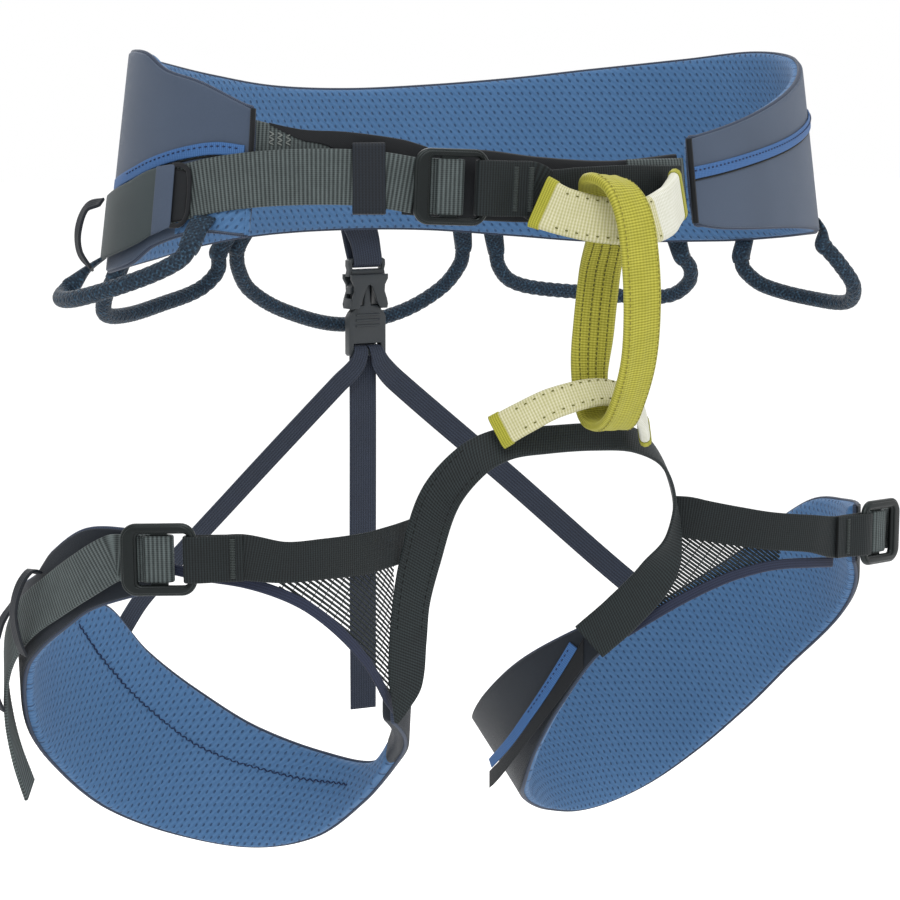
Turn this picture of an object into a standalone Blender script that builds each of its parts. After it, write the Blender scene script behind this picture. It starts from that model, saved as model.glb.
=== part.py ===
"""Climbing harness: padded waist belt, tie-in loops, belay loop, two padded leg loops,
slide-block buckles, gear loops and elastic rear risers.

Metres, +Z up. The origin is the middle of the waist belt at webbing height, -Y is the
wearer's front and +X the wearer's left. Angles around the belt and around each leg loop
are degrees, 0 at the front. Routes and outlines are written in millimetres.
"""

import math

import bmesh
import bpy
from mathutils import Matrix, Vector

# ---------------------------------------------------------------- driving dimensions
MM = 0.001
WAIST_HALF_WIDTH = {"right": 0.162, "left": 0.1685}
WAIST_HALF_DEPTH = 0.109
WAIST_FLARE = 0.12
LEG_CENTRE = {"right": (-0.1205, 0.012), "left": (0.115, 0.012)}
LEG_RADIUS = {"right": 0.084, "left": 0.090}

WAIST_WEBBING_WIDTH = 0.022
LEG_WEBBING_WIDTH = 0.0185
WEBBING_THICKNESS = 0.0016
FOLD_THICKNESS = 0.0013
ELASTIC_THICKNESS = 0.0012
BELAY_THICKNESS = 0.0044
SLEEVE_THICKNESS = 0.0044
GEAR_LOOP_DIAMETER = 0.0068
BINDING_WIDTH = 0.0045
BINDING_THICKNESS = 0.0014

# layers outward from the webbing's middle, (inner, outer)
LINER_LAYER = (-0.0080, -0.0062)
FOAM_LAYER = (-0.0056, -0.0032)
SHELL_LAYER = (-0.0026, -0.0012)
TONGUE_LAYER = (-0.0053, -0.0041)
FLAP_LAYER = (-0.0069, -0.0056)
TRIM_LAYER = (-0.0009, -0.0002)
TUNNEL_LAYER = (0.0012, 0.0021)
MESH_LAYER = (-0.0018, -0.0011)

# padded part of the belt: from the wearer's left of the tie-in, round the back,
# to the right hip
PAD_FROM = 14.0
PAD_TO = 300.0

# belt edges as (degrees, height in mm), from the wearer's left of the tie-in round the back
BELT_TOP = [(12, 13), (21, 17.5), (28, 21.5), (37, 27), (50, 35), (62, 42), (75, 47), (95, 49),
            (115, 45.5), (135, 41), (150, 37), (165, 34), (180, 32.5), (195, 34), (210, 39),
            (225, 44), (240, 47.5), (255, 49.5), (268, 48.6), (277, 42), (288, 37), (300, 27)]
BELT_BOTTOM = [(12, -19.4), (20, -22.6), (40, -24.5), (55, -27), (64, -29.5), (78, -32),
               (93, -35), (108, -37.5), (135, -38.5), (150, -35.5), (165, -32), (180, -31),
               (195, -32), (210, -35.5), (223, -39.5), (240, -41.5), (255, -40), (270, -35),
               (278, -27), (290, -21), (300, -22)]

# leg loop pads as (degrees, radius inset in mm, height in mm); 90 is the outer side of
# the thigh, 180 its back and 270 its inner side
RIGHT_LEG_TOP = [(46, 0, -138), (66, 0, -138.5), (81, 0, -150), (90, 0, -161), (115, 0, -172),
                 (145, 0, -181), (173, 0, -192), (187, 0, -214), (203, 0, -233), (222, 0, -250),
                 (245, 0, -259), (268, 0, -258), (285, 0, -242), (303, 0, -220), (325, 0, -211)]
RIGHT_LEG_BOTTOM = [(46, 0, -161), (65, 0, -170), (77, 0, -180.5), (89, 0, -191),
                    (104, 1, -205), (126, 3, -235), (144, 5, -255), (169, 7, -280),
                    (196, 8, -296), (222, 8, -302), (245, 6, -295), (266, 4, -275),
                    (285, 2, -254), (303, 1, -240), (325, 0, -224)]
LEFT_LEG_TOP = [(40, 0, -153), (71, 0, -157), (89, 0, -160), (102, 0, -170), (116, 0, -187),
                (132, 0, -204), (148, 0, -220), (164, 0, -236), (174, 0, -245), (185, 0, -253),
                (203, 0, -259), (222, 0, -260), (238, 0, -254), (257, 0, -238), (278, 0, -217),
                (297, 0, -201), (312, 0, -190)]
LEFT_LEG_BOTTOM = [(40, 0, -178), (50, 0, -187), (62, 0, -199), (77, 0, -215), (97, 2, -239),
                   (114, 5, -264), (130, 10, -285), (148, 14, -302), (166, 19, -310),
                   (183, 23, -311), (201, 25, -307), (222, 26, -300), (245, 22, -290),
                   (264, 14, -279), (280, 6, -256), (292, 1, -234), (303, 0, -212), (312, 0, -201)]

# buckles: middle of the webbing under the frame (mm), direction towards the sewn strap,
# outward direction
WAIST_BUCKLE = ((-74, -97.5, -3), (0.945, -0.325, -0.04), (-0.325, -0.945, 0))
RIGHT_LEG_BUCKLE = ((-180.2, -53.2, -147.2), (0.80, -0.60, 0.02), (-0.60, -0.80, 0))
LEFT_LEG_BUCKLE = ((170, -69.5, -162.5), (-0.95, -0.31, 0.03), (0.31, -0.95, 0))


# ---------------------------------------------------------------- curves and surfaces
def mm(values):
    """A point given in millimetres, as a vector in metres."""
    return Vector(values) * MM


def blend(table, x):
    """Read a table of (x, value, ...) rows at x, with a smooth curve through its rows."""
    if x <= table[0][0]:
        return list(table[0][1:])
    if x >= table[-1][0]:
        return list(table[-1][1:])
    k = max(i for i, row in enumerate(table[:-1]) if row[0] <= x)
    width = table[k + 1][0] - table[k][0]
    t = (x - table[k][0]) / width
    values = []
    for column in range(1, len(table[0])):
        def slope(i):
            a = table[max(i - 1, 0)]
            b = table[min(i + 1, len(table) - 1)]
            return (b[column] - a[column]) / (b[0] - a[0])
        v0, v1 = table[k][column], table[k + 1][column]
        m0, m1 = slope(k) * width, slope(k + 1) * width
        values.append((2 * t**3 - 3 * t**2 + 1) * v0 + (t**3 - 2 * t**2 + t) * m0
                      + (3 * t**2 - 2 * t**3) * v1 + (t**3 - t**2) * m1)
    return values


def smooth_route(rows, count, closed=False):
    """Resample rows of numbers, whose first three are x, y, z in mm, at even spacing."""
    rows = [list(row) for row in rows]
    if closed:
        rows = rows[-1:] + rows + rows[:2]
    chord = [0.0]
    for a, b in zip(rows, rows[1:]):
        chord.append(chord[-1] + (Vector(a[:3]) - Vector(b[:3])).length)
    table = [[c] + row for c, row in zip(chord, rows)]
    first, last = (chord[1], chord[-2]) if closed else (0.0, chord[-1])
    fine = [blend(table, first + (last - first) * i / 600) for i in range(601)]
    length = [0.0]
    for a, b in zip(fine, fine[1:]):
        length.append(length[-1] + (Vector(a[:3]) - Vector(b[:3])).length)
    steps = count if closed else count - 1
    out, k = [], 0
    for i in range(count):
        target = length[-1] * i / steps
        while k < 599 and length[k + 1] < target:
            k += 1
        share = (target - length[k]) / max(length[k + 1] - length[k], 1e-9)
        out.append([p + (q - p) * share for p, q in zip(fine[k], fine[k + 1])])
    return out


def belt_point(angle, height, offset):
    """A point on the waist ring, offset outward from the middle of the webbing."""
    a = math.radians(angle)
    side = "left" if math.sin(a) > 0 else "right"
    half_width = WAIST_HALF_WIDTH[side] - WAIST_FLARE * height
    half_depth = WAIST_HALF_DEPTH - WAIST_FLARE * height
    outward = Vector((math.sin(a) / half_width, -math.cos(a) / half_depth, 0)).normalized()
    return Vector((half_width * math.sin(a), -half_depth * math.cos(a), height)) + outward * offset


def belt_outward(angle, height):
    """The direction square to the flared waist ring."""
    outward = belt_point(angle, height, 1) - belt_point(angle, height, 0)
    return (outward + Vector((0, 0, WAIST_FLARE))).normalized()


def leg_point(side, angle, height, offset):
    """A point on a leg loop's cylinder, offset outward from the middle of the webbing."""
    a = math.radians(angle)
    sign = 1 if side == "left" else -1
    centre = LEG_CENTRE[side]
    radius = LEG_RADIUS[side] + offset
    return Vector((centre[0] + sign * radius * math.sin(a), centre[1] - radius * math.cos(a), height))


# ---------------------------------------------------------------- solids
def material(name, colour, roughness, metallic=0.0):
    """A Principled material with one colour, roughness and metallic value."""
    result = bpy.data.materials.get(name)
    if result:
        return result
    result = bpy.data.materials.new(name)
    result.use_nodes = True
    shader = result.node_tree.nodes["Principled BSDF"]
    shader.inputs["Base Color"].default_value = (*colour, 1.0)
    shader.inputs["Roughness"].default_value = roughness
    shader.inputs["Metallic"].default_value = metallic
    return result


def add_object(name, mesh, finish):
    """Put a mesh in the scene under the node's name, with its material."""
    mesh.materials.append(finish)
    obj = bpy.data.objects.new(name, mesh)
    PARTS.objects.link(obj)
    return obj


def loft(name, sections, finish, closed=False):
    """A closed solid through matching loops of points, capped at both ends.

    A loop's two halves are split along mirrored diagonals, so that the outer face of one
    layer and the inner face of the next run side by side.
    """
    bm = bmesh.new()
    loops = [[bm.verts.new(point) for point in section] for section in sections]
    count = len(loops[0])
    pairs = list(zip(loops, loops[1:] + loops[:1])) if closed else list(zip(loops, loops[1:]))
    for a, b in pairs:
        for i in range(count):
            j = (i + 1) % count
            if 2 * i < count:
                triangles = ((a[i], a[j], b[j]), (a[i], b[j], b[i]))
            else:
                triangles = ((a[i], a[j], b[i]), (a[j], b[j], b[i]))
            for triangle in triangles:
                bm.faces.new(triangle)
    if not closed:
        bm.faces.new(loops[0][::-1])
        bm.faces.new(loops[-1])
    bmesh.ops.recalc_face_normals(bm, faces=bm.faces)
    mesh = bpy.data.meshes.new(name)
    bm.to_mesh(mesh)
    bm.free()
    return add_object(name, mesh, finish)


def belt_band(name, start, end, steps, edges, layer, finish):
    """A layer of the belt between two heights, edges(angle) giving (bottom, top)."""
    sections = []
    for i in range(steps + 1):
        angle = start + (end - start) * i / steps
        bottom, top = edges(angle)
        sections.append([belt_point(angle, bottom, layer[0]), belt_point(angle, top, layer[0]),
                         belt_point(angle, top, layer[1]), belt_point(angle, bottom, layer[1])])
    return loft(name, sections, finish)


def leg_band(name, side, start, end, steps, edges, layer, finish):
    """A layer of a leg loop, edges(angle) giving (inset, height) of its two edges."""
    sections = []
    for i in range(steps + 1):
        angle = start + (end - start) * i / steps
        (low_inset, low), (high_inset, high) = edges(angle)
        corners = [(low, layer[0] - low_inset), (high, layer[0] - high_inset),
                   (high, layer[1] - high_inset), (low, layer[1] - low_inset)]
        sections.append([leg_point(side, angle, height, offset) for height, offset in corners])
    return loft(name, sections, finish)


def ribbon(name, rows, thickness, finish, count=40, closed=False):
    """A flat strap along rows of (x, y, z, outward x, y, z, width), lengths in mm."""
    path = smooth_route(rows, count, closed)
    places = [mm(row[:3]) for row in path]
    sections = []
    for i, row in enumerate(path):
        if closed:
            along = places[(i + 1) % count] - places[i - 1]
        else:
            along = places[min(i + 1, count - 1)] - places[max(i - 1, 0)]
        along.normalize()
        outward = Vector(row[3:6])
        outward = (outward - along * outward.dot(along)).normalized() * (thickness / 2)
        across = along.cross(outward).normalized() * (row[6] * MM / 2)
        sections.append([places[i] - across - outward, places[i] + across - outward,
                         places[i] + across + outward, places[i] - across + outward])
    return loft(name, sections, finish, closed)


def tube(name, points, diameter, finish, count=26):
    """A round cord along a smooth route through points in mm."""
    curve = bpy.data.curves.new(name, "CURVE")
    curve.dimensions = "3D"
    curve.bevel_depth = diameter / 2
    curve.bevel_resolution = 2
    curve.use_fill_caps = True
    spline = curve.splines.new("POLY")
    path = smooth_route(points, count)
    spline.points.add(count - 1)
    for point, row in zip(spline.points, path):
        point.co = (*mm(row), 1.0)
    curve.materials.append(finish)
    obj = bpy.data.objects.new(name, curve)
    PARTS.objects.link(obj)
    return obj


def rounded_outline(low, high, radius, corner_steps=4):
    """Corners of a rounded rectangle, anticlockwise, low and high as (x, y)."""
    points = []
    centres = [(high[0] - radius, high[1] - radius, 0), (low[0] + radius, high[1] - radius, 90),
               (low[0] + radius, low[1] + radius, 180), (high[0] - radius, low[1] + radius, 270)]
    for x, y, start in centres:
        for i in range(corner_steps + 1):
            a = math.radians(start + 90 * i / corner_steps)
            points.append((x + radius * math.cos(a), y + radius * math.sin(a)))
    return points


def plate(name, outlines, bottom, top, matrix, finish, edge=0.0):
    """A flat plate from 2D outlines (the later ones are holes), as a mesh with bevelled rims."""
    curve = bpy.data.curves.new(name, "CURVE")
    curve.dimensions = "2D"
    curve.fill_mode = "BOTH"
    curve.extrude = (top - bottom) / 2 - edge
    curve.bevel_depth = edge
    curve.bevel_resolution = 1
    curve.offset = -edge
    for outline in outlines:
        spline = curve.splines.new("POLY")
        spline.points.add(len(outline) - 1)
        for point, (x, y) in zip(spline.points, outline):
            point.co = (x, y, 0, 1)
        spline.use_cyclic_u = True
    source = bpy.data.objects.new(name + "_outline", curve)
    bpy.context.scene.collection.objects.link(source)
    bpy.context.view_layer.update()
    evaluated = source.evaluated_get(bpy.context.evaluated_depsgraph_get())
    mesh = bpy.data.meshes.new_from_object(evaluated)
    bpy.data.objects.remove(source)
    bm = bmesh.new()
    bm.from_mesh(mesh)
    bmesh.ops.remove_doubles(bm, verts=bm.verts, dist=0.00002)
    bmesh.ops.translate(bm, verts=bm.verts, vec=(0, 0, (bottom + top) / 2))
    bmesh.ops.transform(bm, matrix=matrix, verts=bm.verts)
    bmesh.ops.recalc_face_normals(bm, faces=bm.faces)
    bm.to_mesh(mesh)
    bm.free()
    mesh.name = name
    mesh.materials.clear()
    return add_object(name, mesh, finish)


def block(name, low, high, collection=None):
    """A box between two corners in metres; a cutter when it is put in CUTTERS."""
    bm = bmesh.new()
    size = Vector(high) - Vector(low)
    middle = (Vector(high) + Vector(low)) / 2
    bmesh.ops.create_cube(bm, size=1.0, matrix=Matrix.Translation(middle) @ Matrix.Diagonal((*size, 1)))
    mesh = bpy.data.meshes.new(name)
    bm.to_mesh(mesh)
    bm.free()
    obj = bpy.data.objects.new(name, mesh)
    (collection or PARTS).objects.link(obj)
    if collection is CUTTERS:
        obj.hide_render = True
        obj.display_type = "WIRE"
    return obj


def cut(obj, cutter):
    """Cut one solid out of another with an exact Boolean."""
    modifier = obj.modifiers.new("cut_" + cutter.name, "BOOLEAN")
    modifier.operation = "DIFFERENCE"
    modifier.object = cutter
    modifier.solver = "EXACT"


def buckle_matrix(placing):
    """Local X towards the sewn strap, local Z outward, from a buckle's placing row."""
    origin, along, outward = placing
    z = Vector(outward).normalized()
    x = (Vector(along) - z * Vector(along).dot(z)).normalized()
    y = z.cross(x)
    rotation = Matrix((x, y, z)).transposed().to_4x4()
    return Matrix.Translation(mm(origin)) @ rotation


# ---------------------------------------------------------------- waist belt
def belt_edges(angle):
    """The belt's bottom and top height in metres at an angle."""
    return blend(BELT_BOTTOM, angle)[0] * MM, blend(BELT_TOP, angle)[0] * MM


def inner_edges(angle):
    """The foam core's heights, short of the belt's edges."""
    bottom, top = belt_edges(angle)
    return bottom + 0.0030, top - 0.0030


def build_belt_layers():
    """Spacer-mesh liner, foam core and smooth shell, laid one outside the other."""
    belt_band("belt_liner", PAD_FROM, PAD_TO, 72, belt_edges, LINER_LAYER, LINER_BLUE)
    belt_band("belt_foam", PAD_FROM + 1, PAD_TO - 1, 72, inner_edges, FOAM_LAYER, FOAM_GREY)
    belt_band("belt_shell", PAD_FROM, PAD_TO, 72, belt_edges, SHELL_LAYER, SHELL_SLATE)


def build_belt_front():
    """Thin tongues that close the belt behind the buckle, the accents and the tunnel."""
    tongue_top = [(300, 23), (309, 19), (317, 18), (326, 15), (330, 12)]
    tongue_bottom = [(300, -10), (330, -9)]
    flap_top = [(-34, 12), (-21, 11), (-12, 8), (0, 6), (12, 8)]
    flap_bottom = [(-34, -14), (-12, -18), (12, -16)]
    belt_band("belt_tongue_right", 300.2, 330, 12,
              lambda a: (blend(tongue_bottom, a)[0] * MM, blend(tongue_top, a)[0] * MM),
              TONGUE_LAYER, WEBBING_DARK)
    belt_band("belt_tongue_left", -34, 12.6, 16,
              lambda a: (blend(flap_bottom, a)[0] * MM, blend(flap_top, a)[0] * MM),
              FLAP_LAYER, WEBBING_DARK)
    trim_right = [(256, -5), (268, 0.6), (276, 5.3), (285, 9.6), (293, 12.4)]
    trim_left = [(14, 0.3), (20, 2.4), (29, 6), (40, 10.5), (55, 17), (68, 22), (84, 25), (100, 22)]
    for name, table in (("belt_trim_right", trim_right), ("belt_trim_left", trim_left)):
        belt_band(name, table[0][0], table[-1][0], 20,
                  lambda a, t=table: (blend(t, a)[0] * MM - 0.0025, blend(t, a)[0] * MM + 0.0025),
                  TRIM_LAYER, ACCENT_BLUE)
    tunnel_top = [(255, -9), (269, -2.6), (276, 2.2), (281, 4.6)]
    tunnel_bottom = [(255, -36), (268, -31), (276, -26), (281, -21)]
    belt_band("webbing_tunnel", 255, 281, 14,
              lambda a: (blend(tunnel_bottom, a)[0] * MM, blend(tunnel_top, a)[0] * MM),
              TUNNEL_LAYER, SHELL_SLATE)


def build_waist_webbing():
    """Load webbing: ribbed adjusting webbing on the right hip, a short end on the left."""
    end_gap = buckle_matrix(WAIST_BUCKLE) @ Vector((-0.0135, 0, -0.0011))
    rows = []
    for angle, height in ((262, -17), (270, -13.5), (277, -10), (285, -6.5), (292, -3),
                          (300, -0.5), (308, 0.8), (316, 1.0), (322, 0)):
        place = belt_point(angle, height * MM, 0) / MM
        rows.append((*place, *belt_outward(angle, height * MM), WAIST_WEBBING_WIDTH / MM))
    rows.append((*(end_gap / MM), *WAIST_BUCKLE[2], WAIST_WEBBING_WIDTH / MM))
    ribbon("waist_webbing", rows, WEBBING_THICKNESS, WEBBING_GREY, 44)
    belt_band("tie_in_webbing_end", 2.2, 12.8, 8, lambda a: (-0.0175, 0.0065),
              (-0.0040, -0.0026), WEBBING_DARK)


def strap_around_bar(name, placing, width, onward, finish, count=56):
    """A strap folded round a buckle's fixed bar, its outer end sewn back on itself."""
    matrix = buckle_matrix(placing)
    fold = [(33, 1.55), (26, 2.3), (20.5, 4.1), (16.8, 5.2), (14.5, 5.5), (12.2, 5.45), (10.7, 4.8),
            (10.3, 3.0), (10.7, 1.15), (12.2, 0.55), (15, 0.5), (20, 0.3), (26, 0.1), (33, -0.1)]
    middle = Vector((13.2, 0, 3.0))
    rows = []
    for x, z in fold:
        place = matrix @ (Vector((x, 0, z)) * MM) / MM
        away = (Vector((x, 0, z)) - middle)
        if x > 16:
            away = Vector((0, 0, 1 if z > fold[-1][1] + 0.6 else -1))
        outward = matrix.to_3x3() @ away.normalized()
        rows.append((*place, *outward, width))
    rows += [(*point[:3], *(-Vector(point[3:6])), point[6]) for point in onward]
    return ribbon(name, rows, FOLD_THICKNESS, finish, count)


# ---------------------------------------------------------------- buckles
def slide_block_buckle(prefix, placing, width, height, finish):
    """A ring frame, and the bar behind it that the adjusting webbing is folded round."""
    matrix = buckle_matrix(placing)
    half = height / 2
    window = width / 2 + 0.0009
    outer = rounded_outline((-0.0150, -half), (0.0150, half), 0.0062)
    inner = rounded_outline((-0.0084, -window), (0.0115, window), 0.0012, 2)
    plate(prefix + "_buckle_frame", [outer, inner[::-1]], 0.0017, 0.0043, matrix, finish, 0.0005)
    bar = rounded_outline((-0.0036, 0.0012 - half), (0.0032, half - 0.0012), 0.0012, 3)
    plate(prefix + "_buckle_slider", [bar], -0.0010, 0.0013, matrix, finish, 0.0004)


def webbing_fold(name, placing, width, finish):
    """The turn of webbing round the sliding bar, its two ends lying under the frame."""
    matrix = buckle_matrix(placing)
    turn = [(-9.5, -0.25), (-7.4, -0.2), (-5.9, 0.7), (-5.0, 2.0), (-3.6, 2.55), (0, 2.6),
            (3.2, 2.5), (4.7, 1.6), (5.1, 0.2), (4.6, -1.3), (3.0, -2.2), (-1, -2.3),
            (-5, -2.3), (-9.5, -2.3)]
    rows = []
    for i, (x, z) in enumerate(turn):
        before, after = turn[max(i - 1, 0)], turn[min(i + 1, len(turn) - 1)]
        outward = Vector((-(after[1] - before[1]), 0, after[0] - before[0])).normalized()
        place = matrix @ (Vector((x, 0, z)) * MM) / MM
        rows.append((*place, *(matrix.to_3x3() @ outward), width / MM))
    ribbon(name, rows, FOLD_THICKNESS, finish, 34)


def build_buckles():
    slide_block_buckle("waist", WAIST_BUCKLE, WAIST_WEBBING_WIDTH, 0.0300, BUCKLE_BLACK)
    slide_block_buckle("right_leg", RIGHT_LEG_BUCKLE, LEG_WEBBING_WIDTH, 0.0287, BUCKLE_BLACK)
    slide_block_buckle("left_leg", LEFT_LEG_BUCKLE, LEG_WEBBING_WIDTH, 0.0287, BUCKLE_BLACK)
    webbing_fold("waist_webbing_fold", WAIST_BUCKLE, WAIST_WEBBING_WIDTH, WEBBING_GREY)
    webbing_fold("right_leg_webbing_fold", RIGHT_LEG_BUCKLE, LEG_WEBBING_WIDTH, WEBBING_GREY)
    webbing_fold("left_leg_webbing_fold", LEFT_LEG_BUCKLE, LEG_WEBBING_WIDTH, WEBBING_GREY)


def build_front_straps():
    """The sewn straps: waist buckle to tie-in, and each leg buckle to the leg bridge."""
    front = (-0.05, -0.99, 0.0)
    waist = [(-36, -108.4, -7.5, -0.14, -0.99, 0, 22), (-20, -110.6, -7.0, -0.08, -1, 0, 22),
             (0, -111.4, -6.0, 0, -1, 0, 21), (18, -110.9, -6.0, 0.08, -1, 0, 20),
             (30, -109.6, -6.2, 0.16, -0.99, 0, 20)]
    strap_around_bar("tie_in_webbing", WAIST_BUCKLE, 22, waist, WEBBING_DARK, 64)
    right = [(-137, -75.2, -149.6, -0.15, -0.98, 0, 16.5), (-119, -75.4, -149.8, *front, 16.5),
             (-98, -71.4, -150, 0.25, -0.97, 0, 17), (-83, -65.0, -149.5, 0.35, -0.93, 0, 17),
             (-73, -60.2, -149, 0.45, -0.9, 0, 17), (-61, -53.9, -148.2, 0.5, -0.87, 0, 17)]
    strap_around_bar("right_leg_strap", RIGHT_LEG_BUCKLE, 18.5, right, WEBBING_DARK, 60)
    left = [(124, -82.6, -158.5, *front, 16.5), (101, -81.5, -155.5, -0.2, -0.98, 0, 16.5),
            (85, -77.0, -152.5, -0.35, -0.94, 0, 17), (74, -71.8, -150.2, -0.45, -0.9, 0, 17.5),
            (67.4, -67.5, -148.7, -0.5, -0.86, 0, 18)]
    strap_around_bar("left_leg_strap", LEFT_LEG_BUCKLE, 18.5, left, WEBBING_DARK, 60)


# ---------------------------------------------------------------- tie-in and belay loops
def build_tie_in():
    """Sleeved upper and lower tie-in loops, and the belay loop that joins them."""
    upper = [(-42, -112.8, -9, -0.35, -0.93, 0.05, 21), (-35.5, -121, -12.8, -0.7, -0.7, 0.1, 19),
             (-24, -130.5, -16, -0.45, -0.88, 0.15, 18.5), (-7, -134.5, -17, 0, -0.98, 0.2, 18.5),
             (9, -128, -14, 0.55, -0.82, 0.15, 20), (19, -120, -10.5, 0.7, -0.7, 0.1, 21),
             (26, -113.8, -7.5, 0.5, -0.85, 0.05, 21)]
    ribbon("upper_tie_in_sleeve", upper, SLEEVE_THICKNESS, SLEEVE_CREAM, 34)
    lower = [(-48, -92.4, -102.3, -0.1, -0.9, 0.42, 14), (-40, -100.5, -95.8, -0.15, -0.88, 0.45, 13.5),
             (-30, -107.5, -89.8, -0.1, -0.85, 0.5, 13), (-12, -112, -86.2, 0, -0.8, 0.6, 12.5),
             (4, -109, -90, 0.12, -0.82, 0.55, 12.5), (16, -102, -97.5, 0.2, -0.85, 0.5, 12.5),
             (27, -90.6, -107, 0.3, -0.85, 0.42, 13)]
    ribbon("lower_tie_in_sleeve", lower, SLEEVE_THICKNESS, SLEEVE_CREAM, 34)
    belay = [(-24, -132, -0.3, 0.15, 0, 1, 17), (-24.5, -144, -3.6, 0.1, -0.7, 0.7, 17),
             (-22.8, -150, -13.5, -0.02, -0.98, 0.15, 17), (-20.8, -151.5, -29, -0.1, -0.99, 0, 16.5),
             (-18.8, -150.5, -49, -0.1, -0.99, 0, 16.5), (-15.2, -143.5, -71, -0.05, -0.96, -0.2, 16.5),
             (-12.2, -131.5, -90, 0, -0.75, -0.65, 16.5), (-9, -119, -99, 0, 0, -1, 16.5),
             (-8, -105.5, -97.2, 0.1, 0.7, -0.65, 16.5), (-7.6, -99.8, -82, 0.1, 0.99, 0, 16.5),
             (-7, -101.6, -61, 0.54, 0.84, 0, 17), (-6.8, -105, -40, 0.54, 0.84, 0.05, 17),
             (-11, -115.4, -20, 0.25, 0.95, 0.15, 16.5), (-18.5, -120.5, -3.6, 0.2, 0.75, 0.65, 16.5)]
    ribbon("belay_loop", belay, BELAY_THICKNESS, BELAY_LIME, 76, closed=True)


def build_leg_bridge():
    """One webbing from the right leg's inner side, over the middle, to the left leg's."""
    bridge = [(-79.5, -66.5, -222, -0.1, -0.99, 0, 2), (-77, -66.3, -214.5, -0.1, -0.99, 0, 9),
              (-74.8, -66, -206, -0.1, -0.99, 0, 15.5), (-73.6, -66, -189, -0.1, -0.99, 0, 17),
              (-72, -66.2, -172.5, -0.1, -1, 0.1, 17), (-69, -68, -156, -0.3, -0.93, 0.2, 17),
              (-65.5, -77, -130, -0.5, -0.8, 0.35, 17), (-55.5, -85.5, -114, -0.55, -0.75, 0.4, 16),
              (-43, -90.5, -107.5, -0.3, -0.85, 0.45, 14), (-25, -92, -106.8, 0, -0.9, 0.4, 12),
              (0, -91, -107.2, 0.1, -0.9, 0.4, 12), (23, -86.5, -110, 0.35, -0.8, 0.5, 13),
              (42.5, -79, -119, 0.75, -0.5, 0.45, 14), (55.5, -72.5, -136, 0.85, -0.5, 0.1, 15),
              (57.8, -70.2, -154.4, 0.5, -0.86, -0.1, 15.5), (54.2, -63.3, -173, -0.4, -0.9, 0, 17),
              (44, -52, -190.5, -0.5, -0.86, 0.05, 18), (34, -42, -203.5, -0.6, -0.8, 0.1, 18)]
    ribbon("leg_bridge_webbing", bridge, WEBBING_THICKNESS, WEBBING_DARK, 96)


# ---------------------------------------------------------------- leg loops
def leg_edges(bottom_table, top_table):
    """A function of angle giving (inset, height) of a leg pad's lower and upper edge."""
    def edges(angle):
        low_inset, low = blend(bottom_table, angle)
        high_inset, high = blend(top_table, angle)
        return (low_inset * MM, low * MM), (high_inset * MM, high * MM)
    return edges


def narrowed(edges, margin):
    """The same band with its two edges moved in by a margin along its sloping face."""
    def inner(angle):
        low, high = (Vector(edge) for edge in edges(angle))
        share = margin / (high.y - low.y)
        return low.lerp(high, share), high.lerp(low, share)
    return inner


def build_leg_pads():
    """Liner, foam core and shell of each leg loop."""
    for side, bottom, top in (("right", RIGHT_LEG_BOTTOM, RIGHT_LEG_TOP),
                              ("left", LEFT_LEG_BOTTOM, LEFT_LEG_TOP)):
        edges = leg_edges(bottom, top)
        start, end = top[0][0], top[-1][0]
        step = (end - start) / 64
        leg_band(side + "_leg_liner", side, start, end, 64, edges, LINER_LAYER, LINER_BLUE)
        leg_band(side + "_leg_foam", side, start + step, end - step, 62, narrowed(edges, 0.002),
                 FOAM_LAYER, FOAM_GREY)
        leg_band(side + "_leg_shell", side, start, end, 64, edges, SHELL_LAYER, SHELL_SLATE)


def build_leg_mesh():
    """See-through mesh between each front strap and the leg loop's lower rim, and its binding."""
    right_low = [(-34.6, -217.5), (-28, -209.6), (-23, -200.5), (-17.4, -191), (-8, -178), (2, -166.7),
                 (10.7, -159.9)]
    left_low = [(-47.6, -197), (-43, -192.2), (-32, -181.8), (-20, -173.3), (-10, -169.5), (-2, -168.6)]
    right_high = [(-34.6, -159.2), (10.7, -159.2)]
    left_high = [(-47.6, -196), (-44, -184), (-41, -172), (-37, -161), (-30, -160), (-20, -163),
                 (-10, -165), (-2, -167.5)]
    for side, low, high in (("right", right_low, right_high), ("left", left_low, left_high)):
        leg_band(side + "_leg_mesh", side, low[0][0], low[-1][0], 22,
                 lambda a, low=low, high=high: ((0, blend(low, a)[0] * MM), (0, blend(high, a)[0] * MM)),
                 MESH_LAYER, MESH_DARK)
        rim = [(angle, height) for angle, height in low]
        if side == "right":
            rim += [(20.6, -154.8), (32.4, -151.6), (44.4, -147.8)]
        else:
            rim += [(8, -169.5), (18, -171)]
        rows = []
        for angle, height in rim:
            place = leg_point(side, angle, (height - 2.8) * MM, -0.0001) / MM
            outward = leg_point(side, angle, 0, 1) - leg_point(side, angle, 0, 0)
            rows.append((*place, *outward, BINDING_WIDTH / MM))
        ribbon(side + "_leg_binding", rows, BINDING_THICKNESS, BINDING_NAVY, 34)


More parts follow.
